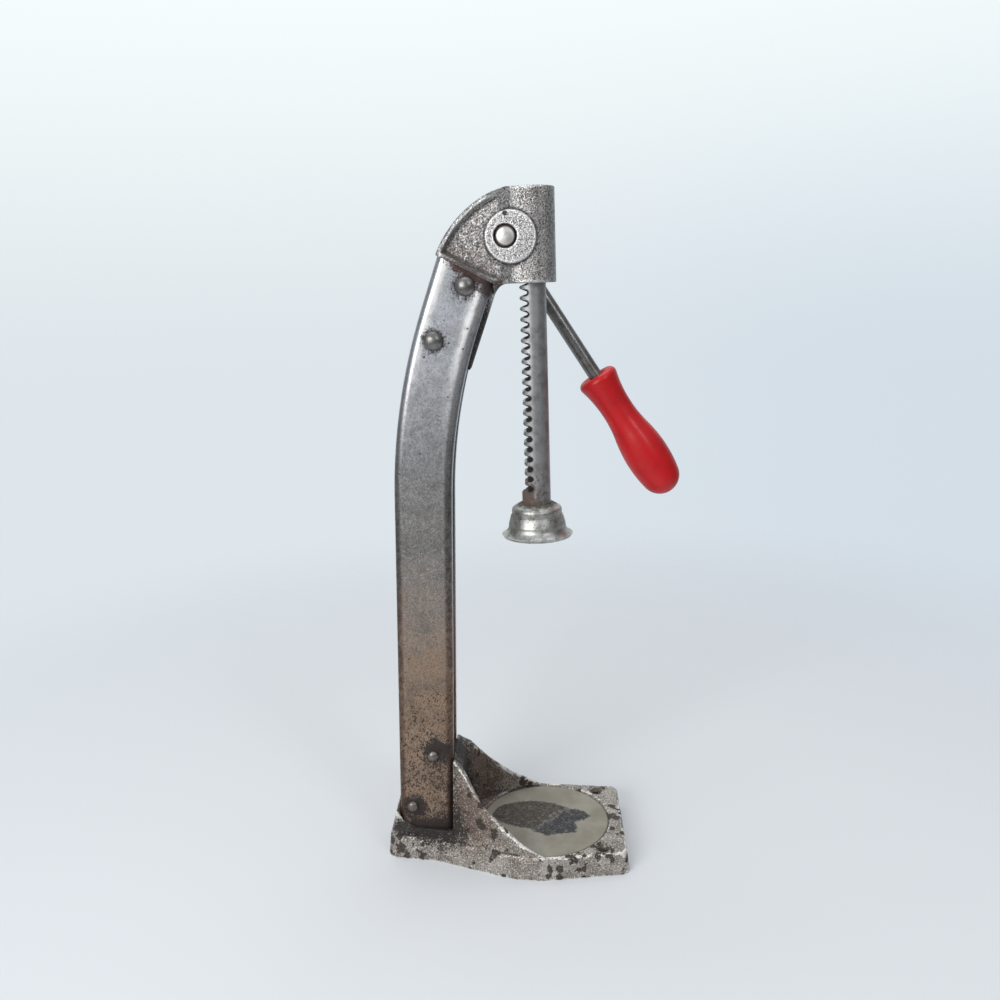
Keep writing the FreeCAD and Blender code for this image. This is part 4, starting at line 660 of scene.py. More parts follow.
@dataclass(frozen=True)
class GripFinish(Finish):
    """Red moulded grip, softly glossy.

    Attributes:
        name: Name of the material.
        colour: Its colour.
        deep: Darker tone in places.
        scuff: Colour of small scuffs.
    """

    name: str
    colour: Colour
    deep: Colour
    scuff: Colour

    def paint(self, graph: Graph, shader: bpy.types.Node) -> None:
        """Fills the tree.

        Args:
            graph: The tree.
            shader: Its principled shader.
        """
        where = graph.place()
        cloud = graph.noise(where, 16.0, 4.0, 0.6)
        colour = graph.blend(graph.remap(cloud, 0.4, 0.7, 0.0, 0.6), self.colour, self.deep)
        scuffs = graph.remap(graph.noise(where, 2.0, 4.0, 0.7), 0.7, 0.78, 0.0, 0.4)
        colour = graph.blend(scuffs, colour, self.scuff)
        graph.feed(shader.inputs["Base Color"], colour)
        graph.feed(shader.inputs["Roughness"], graph.remap(cloud, 0.3, 0.7, 0.38, 0.5))
        graph.feed(shader.inputs["Specular IOR Level"], 0.3)
        graph.feed(shader.inputs["Coat Weight"], 0.15)
        graph.feed(shader.inputs["Coat Roughness"], 0.2)
        graph.feed(shader.inputs["Normal"], graph.bump(graph.noise(where, 6.0, 3.0, 0.5), 0.06))


@dataclass(frozen=True)
class PadFinish(Finish):
    """Worn lino of the seat pad, torn away in the middle.

    Attributes:
        name: Name of the material.
        skin: Colour of the top layer.
        skin_dark: Darker tone of the top layer.
        brown: Colour under the torn part at the back.
        slate: Colour under the torn part at the front.
        fray: Colour of the torn border.
        dark_ring_r: Radius where the darker border starts.
    """

    name: str
    skin: Colour
    skin_dark: Colour
    brown: Colour
    slate: Colour
    fray: Colour
    dark_ring_r: float = 41.6

    def paint(self, graph: Graph, shader: bpy.types.Node) -> None:
        """Fills the tree.

        Args:
            graph: The tree.
            shader: Its principled shader.
        """
        where = graph.place()
        axes = graph.add("ShaderNodeSeparateXYZ", {0: where})
        fine = graph.noise(where, 0.9, 3.0, 0.6)
        ragged = graph.noise(where, 3.2, 5.0, 0.7)
        cloud = graph.noise(where, 20.0, 4.0, 0.6)
        skin = graph.blend(graph.remap(cloud, 0.35, 0.7), self.skin, self.skin_dark)
        skin = graph.blend(graph.remap(fine, 0.5, 0.7, 0.0, 0.3), skin, self.skin_dark)
        plan = graph.vector("MULTIPLY", where, (1.0, 1.0, 0.0)).outputs[0]
        away = graph.vector("LENGTH", plan).outputs[1]
        # Darker towards the pad's border.
        dark_ring = graph.remap(away, self.dark_ring_r * MM, (self.dark_ring_r + 1.6) * MM, 0.0, 0.45)
        skin = graph.blend(dark_ring, skin, self.brown)
        slant = graph.minus(axes.outputs["X"], graph.times(axes.outputs["Y"], 0.9))
        slate_share = graph.remap(graph.plus(slant, graph.times(ragged, 0.03)), 0.014, 0.022)
        under = graph.blend(slate_share, self.brown, self.slate)
        border = graph.times(graph.remap(slate_share, 0.0, 0.4), graph.remap(slate_share, 1.0, 0.6))
        under = graph.blend(graph.times(border, graph.remap(fine, 0.42, 0.58, 0.1, 0.9)), under, self.fray)
        mottle = graph.noise(where, 2.2, 5.0, 0.72)
        under = graph.blend(graph.remap(mottle, 0.5, 0.36, 0.0, 0.6), under, (0.012, 0.011, 0.011))
        under = graph.blend(graph.remap(mottle, 0.53, 0.66, 0.0, 0.5), under, self.fray)
        flecks = graph.remap(graph.noise(where, 1.1, 3.0, 0.6), 0.62, 0.68, 0.0, 0.55)
        under = graph.blend(flecks, under, self.fray)
        swing = graph.times(graph.minus(ragged, 0.5), 6.5)
        swing = graph.plus(swing, graph.times(graph.minus(mottle, 0.5), 4.5))
        torn = graph.plus(graph.attribute("torn"), swing)
        inside = graph.remap(torn, -0.15, 0.15)
        colour = graph.blend(inside, skin, under)
        rim = graph.times(graph.remap(torn, -0.5, -0.1), graph.remap(torn, 0.9, 0.2))
        patch = graph.remap(graph.noise(where, 7.0, 3.0, 0.6), 0.42, 0.58, 0.0, 0.8)
        colour = graph.blend(graph.times(rim, patch), colour, self.fray)
        graph.feed(shader.inputs["Base Color"], colour)
        graph.feed(shader.inputs["Roughness"], graph.remap(inside, 0.0, 1.0, 0.62, 0.8))
        graph.feed(shader.inputs["Specular IOR Level"], 0.35)
        normal = graph.bump(graph.minus(1.0, inside), 0.3)
        graph.feed(shader.inputs["Normal"], graph.bump(fine, 0.06, normal))


RUST = tone(60, 34, 29)
BLACKISH = tone(34, 28, 26)
NEAR_BLACK = tone(34, 28, 25)

FOOT_FINISH = CastFinish(
    name="foot_skin", light=tone(172, 165, 157), deep=tone(134, 124, 116), wear_and_highlight=tone(238, 236, 230),
    pit_and_shade=tone(48, 37, 31), grain=0.95, relief=0.4, pit_size=7.0, pit_share=0.42, metallic=0.55, roughness=0.45,
    edge_low=0.42, broken=2.0, rubbed=0.8, shade=0.9, contrast=0.5, sparkle=0.42, stains=(
        # Darkening round the column's foot, on the plate and the webs near it.
        Stain((-50.0, 0.0, 36.0), (38.0, 60.0, 34.0), tone(92, 70, 56), 0.78, 0.7),
        Stain((-62.0, 0.0, 30.0), (24.0, 30.0, 80.0), NEAR_BLACK, 0.95, 0.5),
        Stain((-50.0, 30.0, 76.0), (13.0, 24.0, 19.0), NEAR_BLACK, 0.95, 0.4),
        Stain((-70.0, 0.0, 26.0), (28.0, 70.0, 22.0), tone(40, 32, 28), 0.9, 0.8),
        Stain((-84.0, 0.0, 21.5), (34.0, 60.0, 10.0), BLACKISH, 0.94, 0.5),
        *(Stain((37.2, y, 15.0), (6.5, 6.5, 6.0), tone(64, 54, 46), 0.7, 1.0) for y in (34.8, -34.8)),
    ),
)
HEAD_FINISH = CastFinish(
    name="head_skin", light=tone(204, 203, 203), deep=tone(178, 177, 177), wear_and_highlight=tone(250, 250, 250),
    pit_and_shade=tone(38, 34, 32), grain=0.95, relief=0.5, pit_size=9.0, pit_share=0.05, metallic=0.88, roughness=0.36,
    # The sunk and flank tints are painted shade; calm keeps the painted crease shade faint beside the
    # housing.
    edge_low=0.26, broken=0.4, rubbed=0.5, shade=0.92, contrast=0.75, sparkle=0.55, sunk=(0.7, 0.68, 0.665),
    flank=(0.42, 0.455, 0.435), sideways=1.0, calm=tuple(
        Stain((-11.0, 0.0, z), (7.0, THROUGH, 10.0), BLACKISH, 0.85, 0.0) for z in (426.0, 376.0)
    ), stains=(
        # Painted shade on the housing's right side.
        Stain((22.0, 0.0, 400.0), (13.0, THROUGH, 60.0), tone(112, 114, 115), 0.6, 0.2),
        Stain((-38.0, 0.0, 388.5), (24.0, 40.0, 9.0), tone(104, 92, 84), 0.4, 0.6, -27.9),
        Stain((-36.0, 0.0, 382.0), (23.0, THROUGH, 2.7), tone(66, 50, 44), 0.88, 0.35, -27.9),
        Stain((-40.0, 0.0, 344.0), (25.0, 40.0, 39.0), BLACKISH, 0.94, 0.1),
        Stain((-19.0, 0.0, 371.0), (8.0, 40.0, 5.0), tone(66, 52, 46), 0.9, 0.5, -60.0),
        Stain((0.0, 0.0, 370.6), (24.0, 90.0, 1.6), tone(62, 58, 56), 0.8, 0.3),
        Stain((-13.9, -17.0, 413.6), (1.8, 4.0, 1.7), BLACKISH, 0.95, 0.5),
    ),
)
CHANNEL_FINISH = ChannelFinish(
    name="channel_skin", above=tone(182, 186, 193), middle=tone(150, 149, 148), below=tone(152, 129, 109),
    bright=tone(252, 252, 252), dark=tone(44, 34, 29), corner_dark=tone(74, 48, 40), stains=(
        Stain((-87.0, 0.0, 36.0), (10.5, THROUGH, 10.5), BLACKISH, 0.95, 1.1),
        Stain((-70.0, 0.0, 76.0), (11.5, THROUGH, 12.5), BLACKISH, 0.95, 1.4),
        Stain((-76.0, 0.0, 15.0), (36.0, THROUGH, 19.0), BLACKISH, 0.96, 0.9),
        Stain((-38.4, 0.0, 373.6), (9.2, THROUGH, 9.0), BLACKISH, 0.96, 0.9),
        Stain((-58.6, 0.0, 342.7), (8.8, THROUGH, 8.8), BLACKISH, 0.95, 0.8),
        Stain((-34.0, 0.0, 380.4), (19.0, THROUGH, 5.6), RUST, 0.96, 1.1, -27.9),
        Stain((-25.0, 0.0, 373.0), (7.0, THROUGH, 9.0), tone(52, 40, 36), 0.94, 0.8, -27.9),
    ),
)
ROD_FINISH = RackFinish(
    name="rack_skin", colour=tone(168, 170, 172), dull=tone(108, 102, 94), speck=tone(64, 52, 44),
    roughness=0.4, patchy=0.5,
    stains=(Stain((-3.5, 0.0, 238.0), (12.0, 16.0, 24.0), tone(84, 60, 44), 0.85, 1.0),),
)
LEVER_ROD_FINISH = TurnedFinish(
    name="lever_rod_skin", colour=tone(138, 139, 139), dull=tone(92, 86, 76), speck=tone(64, 52, 44),
    roughness=0.28, patchy=0.6,
)
BELL_FINISH = TurnedFinish(
    name="bell_skin", colour=tone(188, 189, 186), dull=tone(112, 109, 99), speck=tone(54, 50, 44),
    metallic=0.92, roughness=0.36, patchy=0.68, speck_share=0.25, stains=(
        Stain((0.0, 0.0, 239.5), (18.5, 18.5, 4.6), tone(78, 70, 58), 0.92, 0.5),
        # A darker patch on the bell's left side.
        Stain((-16.0, 0.0, 229.0), (8.0, 18.0, 9.0), tone(90, 86, 77), 0.7, 1.4),
    ),
)
RIVET_FINISH = TurnedFinish(
    name="rivet_skin", colour=tone(134, 134, 133), dull=tone(90, 84, 78), speck=tone(48, 40, 34),
    roughness=0.32, patchy=0.6, speck_share=0.2, stains=tuple(
        Stain((x, 0.0, z), (5.0, 40.0, 5.0), tone(112, 90, 76), 0.45, 1.4)
        for x, z in ((-88.0, 36.5), (-72.6, 73.0))
    ),
)
# The dark dull tone also stands for the painted shade in the gap round the shaft at the near bush.
BRONZE_FINISH = TurnedFinish(
    name="bronze_skin", colour=tone(84, 70, 54), dull=tone(40, 32, 26), speck=tone(26, 21, 18), roughness=0.5,
    patchy=0.9,
)
HUB_FINISH = TurnedFinish(
    name="hub_skin", colour=tone(160, 160, 160), dull=tone(110, 104, 98), speck=tone(60, 50, 44),
    roughness=0.32,
)
SHAFT_FINISH = ShaftFinish(
    name="shaft_skin", colour=tone(240, 240, 240), dull=tone(200, 198, 194), speck=tone(120, 114, 108),
    roughness=0.3, patchy=0.5, speck_share=0.08,
)
GRIP_FINISH = GripFinish(
    name="grip_paint", colour=tone(192, 22, 28), deep=tone(160, 15, 24), scuff=tone(222, 90, 88),
)
PAD_FINISH = PadFinish(
    name="pad_skin", skin=tone(153, 148, 136), skin_dark=tone(134, 128, 115), brown=tone(82, 76, 70),
    slate=tone(68, 68, 71), fray=tone(146, 142, 136),
)


def link(obj: bpy.types.Object) -> bpy.types.Object:
    """Puts an object into the scene and returns it."""
    bpy.context.scene.collection.objects.link(obj)
    return obj


def clean(mesh: bpy.types.Mesh, merge: float = 0.0, outward: bool = True) -> None:
    """Merges doubled vertices and turns the normals outward.

    Args:
        mesh: The mesh.
        merge: Vertices closer than this many metres become one, or 0 to keep all.
        outward: Whether the normals are turned.
    """
    work = bmesh.new()
    work.from_mesh(mesh)
    if merge:
        bmesh.ops.remove_doubles(work, verts=work.verts, dist=merge)
    if outward:
        bmesh.ops.recalc_face_normals(work, faces=work.faces)
    work.to_mesh(mesh)
    work.free()


def mesh_object(name: str, points: np.ndarray, faces: Sequence[Sequence[int]]) -> bpy.types.Object:
    """Makes a mesh object with outward normals.

    Args:
        name: Its name.
        points: Vertices in millimetres.
        faces: Vertex numbers of each face.

    Returns:
        The object.
    """
    mesh = bpy.data.meshes.new(name)
    mesh.from_pydata((np.asarray(points) * MM).tolist(), [], [list(f) for f in faces])
    clean(mesh, MERGE_TURNED)
    shade(mesh)
    return link(bpy.data.objects.new(name, mesh))


def shade(mesh: bpy.types.Mesh) -> None:
    """Smooths a mesh, except at its sharp edges.

    Args:
        mesh: The mesh.
    """
    mesh.polygons.foreach_set("use_smooth", np.ones(len(mesh.polygons), bool))
    mesh.set_sharp_from_angle(angle=math.radians(SMOOTH_DEG))
    mesh.update()


def apply_modifiers(obj: bpy.types.Object) -> bpy.types.Mesh:
    """Gives an object the plain mesh that its modifiers make.

    Args:
        obj: The object.

    Returns:
        The mesh.
    """
    graph = bpy.context.evaluated_depsgraph_get()
    mesh = bpy.data.meshes.new_from_object(obj.evaluated_get(graph))
    obj.modifiers.clear()
    obj.data = mesh
    return mesh


def store(mesh: bpy.types.Mesh, name: str, values: np.ndarray) -> None:
    """Keeps one number per vertex on the mesh, under a name."""
    attribute = mesh.attributes.new(name, "FLOAT", "POINT")
    attribute.data.foreach_set("value", np.asarray(values, np.float32))


def vertices(mesh: bpy.types.Mesh) -> np.ndarray:
    """Reads the vertices.

    Args:
        mesh: The mesh.

    Returns:
        Their places in metres, one row each.
    """
    flat = np.zeros(len(mesh.vertices) * 3, np.float32)
    mesh.vertices.foreach_get("co", flat)
    return flat.reshape(-1, 3).astype(float)


def arc_points(start: np.ndarray, end: np.ndarray, radius: float, step: float) -> list[np.ndarray]:
    """Points on the short arc between two points, without the last.

    Args:
        start: First point.
        end: Last point.
        radius: Its radius, positive if it runs counter-clockwise.
        step: Largest distance between points.

    Returns:
        The points.
    """
    chord = end - start
    length = float(np.hypot(*chord))
    side = 1.0 if radius > 0 else -1.0
    height = math.sqrt(max(radius * radius - length * length / 4.0, 0.0))
    centre = (start + end) / 2.0 + np.array([-chord[1], chord[0]]) / length * side * height
    first = math.atan2(*(start - centre)[::-1])
    last = math.atan2(*(end - centre)[::-1])
    turn = (last - first) * side % (2.0 * math.pi)
    count = max(int(math.ceil(abs(radius) * turn / step)), 6)
    angles = [first + side * turn * i / count for i in range(count)]
    return [centre + abs(radius) * np.array([math.cos(angle), math.sin(angle)]) for angle in angles]


def outline(corners: Sequence[Corner], step: float = 0.8) -> np.ndarray:
    """Points along a chain of corners.

    Args:
        corners: Each (x, y), or (x, y, radius) where an arc leaves it.
        step: Largest distance between points on arcs.

    Returns:
        The points, one row each.
    """
    found: list[np.ndarray] = []
    for i, corner in enumerate(corners):
        start = np.array(corner[:2], float)
        if len(corner) > 2 and i + 1 < len(corners):
            found.extend(arc_points(start, np.array(corners[i + 1][:2], float), corner[2], step))
        else:
            found.append(start)
    return np.array(found)


def guarded(points: np.ndarray, guard: float = 0.25, step: float = math.inf) -> np.ndarray:
    """Adds a point close to each end of every long edge, so that flats stay flat when smoothed.

    Args:
        points: A chain of points.
        guard: Distance of the added points.
        step: Largest distance between points.

    Returns:
        The longer chain.
    """
    rows = [points[0]]
    for start, end in zip(points[:-1], points[1:]):
        length = float(np.hypot(*(end - start)))
        if length > 4.0 * guard:
            ends = np.array([guard / length, 1.0 - guard / length])
            shares = np.linspace(*ends, max(int(length / step), 1) + 1)
            rows += [start + (end - start) * share for share in shares]
        rows.append(end)
    return np.array(rows)


def lathe(name: str, profile: np.ndarray, place: Matrix, turns: int = 128) -> bpy.types.Object:
    """Turns a profile about an axis.

    Args:
        name: Name of the object.
        profile: Rows of (radius, distance along the axis) in millimetres.
        place: Matrix that moves the local Z axis to the real one, in millimetres.
        turns: Number of steps round.

    Returns:
        The object.
    """
    angles = np.linspace(0.0, 2.0 * math.pi, turns, endpoint=False)
    rings = [[(r * math.cos(a), r * math.sin(a), s) for a in angles] for r, s in profile]
    points = np.array(rings).reshape(-1, 3)
    matrix = np.array(place)
    points = points @ matrix[:3, :3].T + matrix[:3, 3]
    faces = []
    for i in range(len(profile) - 1):
        for j in range(turns):
            k = (j + 1) % turns
            faces.append((i * turns + j, i * turns + k, (i + 1) * turns + k, (i + 1) * turns + j))
    return mesh_object(name, points, faces)


def finish_piece(obj: bpy.types.Object, finish: Finish) -> bpy.types.Object:
    """Gives a piece its material and slot.

    Args:
        obj: The piece.
        finish: Its finish.

    Returns:
        The same piece.
    """
    obj.data.materials.clear()
    obj.data.materials.append(finish.material())
    return obj


class Assembly:
    """Base of the sub-assemblies."""

    body = Body.FRAME

    def build(self) -> None:
        """Makes the meshes."""
        raise NotImplementedError

    def dress(self) -> None:
        """Gives the pieces their finishes."""
        raise NotImplementedError

    def stand_in(self, obj: bpy.types.Object, *nodes: str) -> bpy.types.Object:
        """Lets a piece ride on the body and stand for CAD nodes.

        Args:
            obj: The piece.
            nodes: Names of the nodes.

        Returns:
            The same piece.
        """
        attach(obj, self.body.value)
        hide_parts(*nodes)
        return obj


@dataclass
class Casting(Assembly):
    """A casting: the CAD solid with rounded edges, and measures of wear and highlight and of creases for
    painted shade.

    Attributes:
        node: Name of the CAD node.
        name: Name of the piece.
        finish: Its finish.
        slot: Its slot; not used.
        voxel: Mesh size in millimetres.
        rounds: Smoothing rounds.
        spread: Smoothing rounds of the surface that the wear and highlight and the broad painted shade are
            measured against.
        bores: Round holes that keep their size, each (x, y, radius) in plan.
        sunk_half: Distance of its sunk faces from the middle, or 0.
        back: Centre (x, z) and radius of its round back, or a radius of 0.
        back_depth: Width of the border along the back that gets painted shade.
        close: Smoothing rounds of the surface that the narrow creases of painted shade are measured against.
    """

    node: str
    name: str
    finish: Finish
    slot: Slot
    voxel: float
    rounds: int
    spread: int
    bores: tuple[Point, ...] = ()
    sunk_half: float = 0.0
    back: Point = (0.0, 0.0, 0.0)
    back_depth: float = 1.0
    close: int = 5

    def build(self) -> None:
        """Makes the rounded copy."""
        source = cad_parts[self.node]
        obj = link(bpy.data.objects.new(self.name, source.data.copy()))
        obj.data.materials.clear()
        clean(obj.data, MERGE_CAST, outward=False)
        remesh = obj.modifiers.new("cells", "REMESH")
        remesh.mode = "VOXEL"
        remesh.voxel_size = self.voxel * MM
        mesh = apply_modifiers(obj)
        self.soften(mesh)
        self.obj = self.stand_in(obj, self.node)
        log.info("%s has %d vertices", self.name, len(mesh.vertices))

    def soften(self, mesh: bpy.types.Mesh) -> None:
        """Rounds the edges inside the CAD box and stores how proud each place stands, in millimetres.

        Args:
            mesh: The mesh.
        """
        points = vertices(mesh)
        count = len(points)
        pairs = np.zeros(len(mesh.edges) * 2, np.int64)
        mesh.edges.foreach_get("vertices", pairs)
        first, second = pairs.reshape(-1, 2).T
        degree = np.bincount(first, minlength=count) + np.bincount(second, minlength=count)

        def mean(values: np.ndarray) -> np.ndarray:
            total = np.bincount(first, values[second], count) + np.bincount(second, values[first], count)
            return total / degree

        for i in range(self.rounds * 2):
            weight = 0.5 if i % 2 == 0 else -0.51
            around = np.stack([mean(points[:, k]) for k in range(3)], 1)
            points = points + (around - points) * weight
        low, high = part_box(self.node)
        points = np.clip(points, np.array(low), np.array(high))
        for x, y, radius in self.bores:
            plan = points[:, :2] - np.array([x, y]) * MM
            reach = np.hypot(plan[:, 0], plan[:, 1])
            near = np.abs(reach - radius * MM) < 0.4 * MM
            points[near, :2] = np.array([x, y]) * MM + plan[near] / reach[near, None] * radius * MM
        mesh.vertices.foreach_set("co", points.astype(np.float32).ravel())
        mesh.polygons.foreach_set("use_smooth", np.ones(len(mesh.polygons), bool))
        mesh.update()
        normals = np.zeros(count * 3, np.float32)
        mesh.vertex_normals.foreach_get("vector", normals)
        outward = normals.reshape(-1, 3)
        around = points
        for name, rounds in (("crease", self.close), ("edge", self.spread - self.close)):
            for _ in range(rounds):
                around = np.stack([mean(around[:, k]) for k in range(3)], 1)
            store(mesh, name, np.sum((points - around) * outward, 1) / MM)
        sideways = np.abs(outward[:, 1])
        deep = np.abs(np.abs(points[:, 1]) / MM - self.sunk_half) < 0.9
        # The border along the round back (flank) and the sunk faces are marked for painted shade.
        x, z, radius = self.back
        away = np.hypot(points[:, 0] / MM - x, points[:, 2] / MM - z)
        border = (away > radius - self.back_depth) & (away < radius + 1.0)
        border &= points[:, 0] / MM < x - radius / 4.0
        shares = {"sunk": deep & (sideways > 0.75), "flank": border, "facing": sideways}
        for name, share in shares.items():
            values = share.astype(float)
            for _ in range(1 if name == "flank" else 3):
                values = mean(values)
            store(mesh, name, values)

    def dress(self) -> None:
        """Gives the casting its finish."""
        finish_piece(self.obj, self.finish)


@dataclass
class SeatPad(Assembly):
    """The pad in the seat, with its torn middle.

    Attributes:
        radius: Its radius.
        base: Height of its underside.
        top: Height of its top.
        edge: Rounding of its top edge.
        cell: Mesh size.
        tear: Outline of the torn part, (x, y) in plan.
    """

    radius: float = 43.0
    base: float = 13.2
    top: float = 14.2
    edge: float = 0.3
    cell: float = 0.7
    tear: tuple[tuple[float, float], ...] = (
        (-37.7, 5.9), (-31.7, 17.2), (-24.7, 20.9), (-14.1, 23.2), (-3.4, 22.9), (7.2, 18.8), (17.6, 13.4),
        (26.5, 9.4), (31.0, 4.3), (28.0, -0.5), (20.3, -4.0), (21.1, -15.8), (9.6, -17.9), (1.6, -20.0),
        (-10.5, -11.6), (-20.7, -7.9), (-31.1, -2.8),
    )

    def torn(self, plan: np.ndarray) -> np.ndarray:
        """Distance inside the torn outline.

        Args:
            plan: Places in plan, one row each.

        Returns:
            Millimetres, positive inside.
        """
        corners = np.array(self.tear)
        nearest = np.full(len(plan), 1e9)
        inside = np.zeros(len(plan), bool)
        for start, end in zip(corners, np.roll(corners, -1, 0)):
            along = end - start
            share = np.clip(((plan - start) @ along) / (along @ along), 0.0, 1.0)
            nearest = np.minimum(nearest, np.hypot(*(plan - start - share[:, None] * along).T))
            crosses = (start[1] > plan[:, 1]) != (end[1] > plan[:, 1])
            level = start[0] + (plan[:, 1] - start[1]) * along[0] / (along[1] + 1e-12)
            inside ^= crosses & (plan[:, 0] < level)
        return np.where(inside, nearest, -nearest)

    def build(self) -> None:
        """Makes the disc from rings, so that the torn outline has somewhere to sit."""
        rings = int(self.radius / self.cell)
        radii = np.linspace(0.0, self.radius - self.edge, rings + 1)[1:]
        turns = 256
        angles = np.linspace(0.0, 2.0 * math.pi, turns, endpoint=False)
        inset = self.edge * 0.3
        wall = [(self.radius - inset, self.top - inset), (self.radius, self.top - self.edge),
                (self.radius, self.base)]
        rows = [(r, self.top) for r in radii] + wall
        points = [(0.0, 0.0, self.top)]
        points += [(r * math.cos(a), r * math.sin(a), z) for r, z in rows for a in angles]
        faces = [(0, 1 + j, 1 + (j + 1) % turns) for j in range(turns)]
        for i in range(len(rows) - 1):
            start = 1 + i * turns
            faces += [(start + j, start + turns + j, start + turns + (j + 1) % turns, start + (j + 1) % turns)
                      for j in range(turns)]
        faces.append([1 + (len(rows) - 1) * turns + j for j in range(turns)])
        self.obj = mesh_object("pad", np.array(points), faces)
        places = vertices(self.obj.data) / MM
        store(self.obj.data, "torn", self.torn(places[:, :2]))
        self.stand_in(self.obj, "seat_pad")

    def dress(self) -> None:
        """Gives the pad its finish."""
        finish_piece(self.obj, PAD_FINISH)


@dataclass
class Column(Assembly):
    """The lipped channel, swept from the foot up to the seam.

    Attributes:
        lean: Forward lean of the straight part in degrees.
        tilt: Forward tilt of the top in degrees.
        bend_r: Radius of the bend.
        bend_end: End of the bend, (x, z).
        foot_z: Height of the lower end.
        seam: A point on the seam, (x, z).
        seam_slope: Fall of the seam to the front in degrees.
        depth: Front to back.
        width: Side to side.
        sheet: Sheet thickness.
        corner_r: Outer corner radius.
        slot: Width of the open front.
    """

    lean: float = 2.35
    tilt: float = 20.3
    bend_r: float = 357.0
    bend_end: tuple[float, float] = (-48.42, 355.52)
    foot_z: float = 15.0
    seam: tuple[float, float] = (-51.6, 389.9)
    seam_slope: float = 27.9
    depth: float = 35.7
    width: float = 36.0
    sheet: float = 2.5
    corner_r: float = 5.0
    slot: float = 16.0

    def section(self) -> tuple[np.ndarray, np.ndarray, np.ndarray]:
        """Returns:
            The closed section as rows of (forward, side), how far each point lies on a rounded corner, and
            how far it lies in the bands beside the corners, partly rubbed metal and partly painted highlight.
        """
        a, b, r, t, lip = self.depth / 2, self.width / 2, self.corner_r, self.sheet, self.slot / 2
        round_off = 0.35
        outer = [(a - round_off, -lip, -round_off), (a, -(lip + round_off)), (a, -(b - r), -r),
                 (a - r, -b), (-(a - r), -b, -r), (-a, -(b - r)), (-a, b - r, -r), (-(a - r), b),
                 (a - r, b, -r), (a, b - r), (a, lip + round_off, -round_off), (a - round_off, lip)]
        inner = [(a - t, lip), (a - t, b - r, r - t), (a - r, b - t), (-(a - r), b - t, r - t),
                 (-(a - t), b - r), (-(a - t), -(b - r), r - t), (-(a - r), -(b - t)),
                 (a - r, -(b - t), r - t), (a - t, -(b - r)), (a - t, -lip)]
        chain = guarded(outline(outer + inner, 0.7), 0.25, 1.5)
        corner = np.clip(1.0 - (a - np.abs(chain[:, 0])) / r, 0, 1)
        corner *= np.clip(1.0 - (b - np.abs(chain[:, 1])) / r, 0, 1)
        ahead = chain[:, 0] / (a - r)
        # Bands just inside both corners: partly rubbed metal, partly painted highlight.
        band = np.exp(-((ahead - 0.86) / 0.2) ** 2) + 0.8 * np.exp(-((ahead + 0.95) / 0.14) ** 2)
        return chain, np.clip(corner * 3.0, 0.0, 1.0), band * (np.abs(chain[:, 1]) > b - t)

    def build(self) -> None:
        """Makes the swept mesh."""
        lean, tilt = math.radians(self.lean), math.radians(self.tilt)
        end = np.array(self.bend_end)
        centre = end + self.bend_r * np.array([math.cos(tilt), -math.sin(tilt)])
        section, corner, band = self.section()

        def basis(angle: float) -> tuple[np.ndarray, np.ndarray]:
            return np.array([math.cos(angle), -math.sin(angle)]), np.array([math.sin(angle), math.cos(angle)])

        rings = []
        forward, up = basis(lean)
        start = centre - self.bend_r * forward
        line = start + section[:, :1] * forward
        drop = (line[:, 1] - self.foot_z) / up[1]
        rings += [line - (drop * share)[:, None] * up for share in np.linspace(1.0, 0.0, 40)]
        for angle in np.linspace(lean, tilt, 48)[1:]:
            forward, up = basis(angle)
            rings.append(centre - self.bend_r * forward + section[:, :1] * forward)
        fall = math.tan(math.radians(self.seam_slope))
        line = rings[-1]
        level = self.seam[1] - (line[:, 0] - self.seam[0]) * fall
        rise = (level - line[:, 1]) / (up[1] + up[0] * fall)
        rings += [line + (rise * share)[:, None] * up for share in np.linspace(0.0, 1.0, 10)[1:]]
        count = len(section)
        rows = [[(x, y, z) for (x, z), y in zip(ring, section[:, 1])] for ring in rings]
        points = np.array(rows).reshape(-1, 3)
        steps = [(i * count, j, (j + 1) % count) for i in range(len(rings) - 1) for j in range(count)]
        faces = [(low + j, low + k, low + count + k, low + count + j) for low, j, k in steps]
        faces.append(list(range(count)))
        last = (len(rings) - 1) * count
        faces.append([last + j for j in reversed(range(count))])
        mesh = bpy.data.meshes.new("channel")
        mesh.from_pydata((points * MM).tolist(), [], faces)
        store(mesh, "corner", np.tile(corner, len(rings)))
        store(mesh, "band", np.tile(band, len(rings)))
        clean(mesh)
        shade(mesh)
        self.obj = self.stand_in(link(bpy.data.objects.new("channel", mesh)), "column")

    def dress(self) -> None:
        """Gives the channel its finish."""
        finish_piece(self.obj, CHANNEL_FINISH)


@dataclass(frozen=True)
class RivetPlace:
    """One through rivet.

    Attributes:
        node: Name of its CAD node.
        x: Place along X.
        z: Height.
        radius: Radius of its heads.
        dome: Height of its heads.
    """

    node: str
    x: float
    z: float
    radius: float
    dome: float


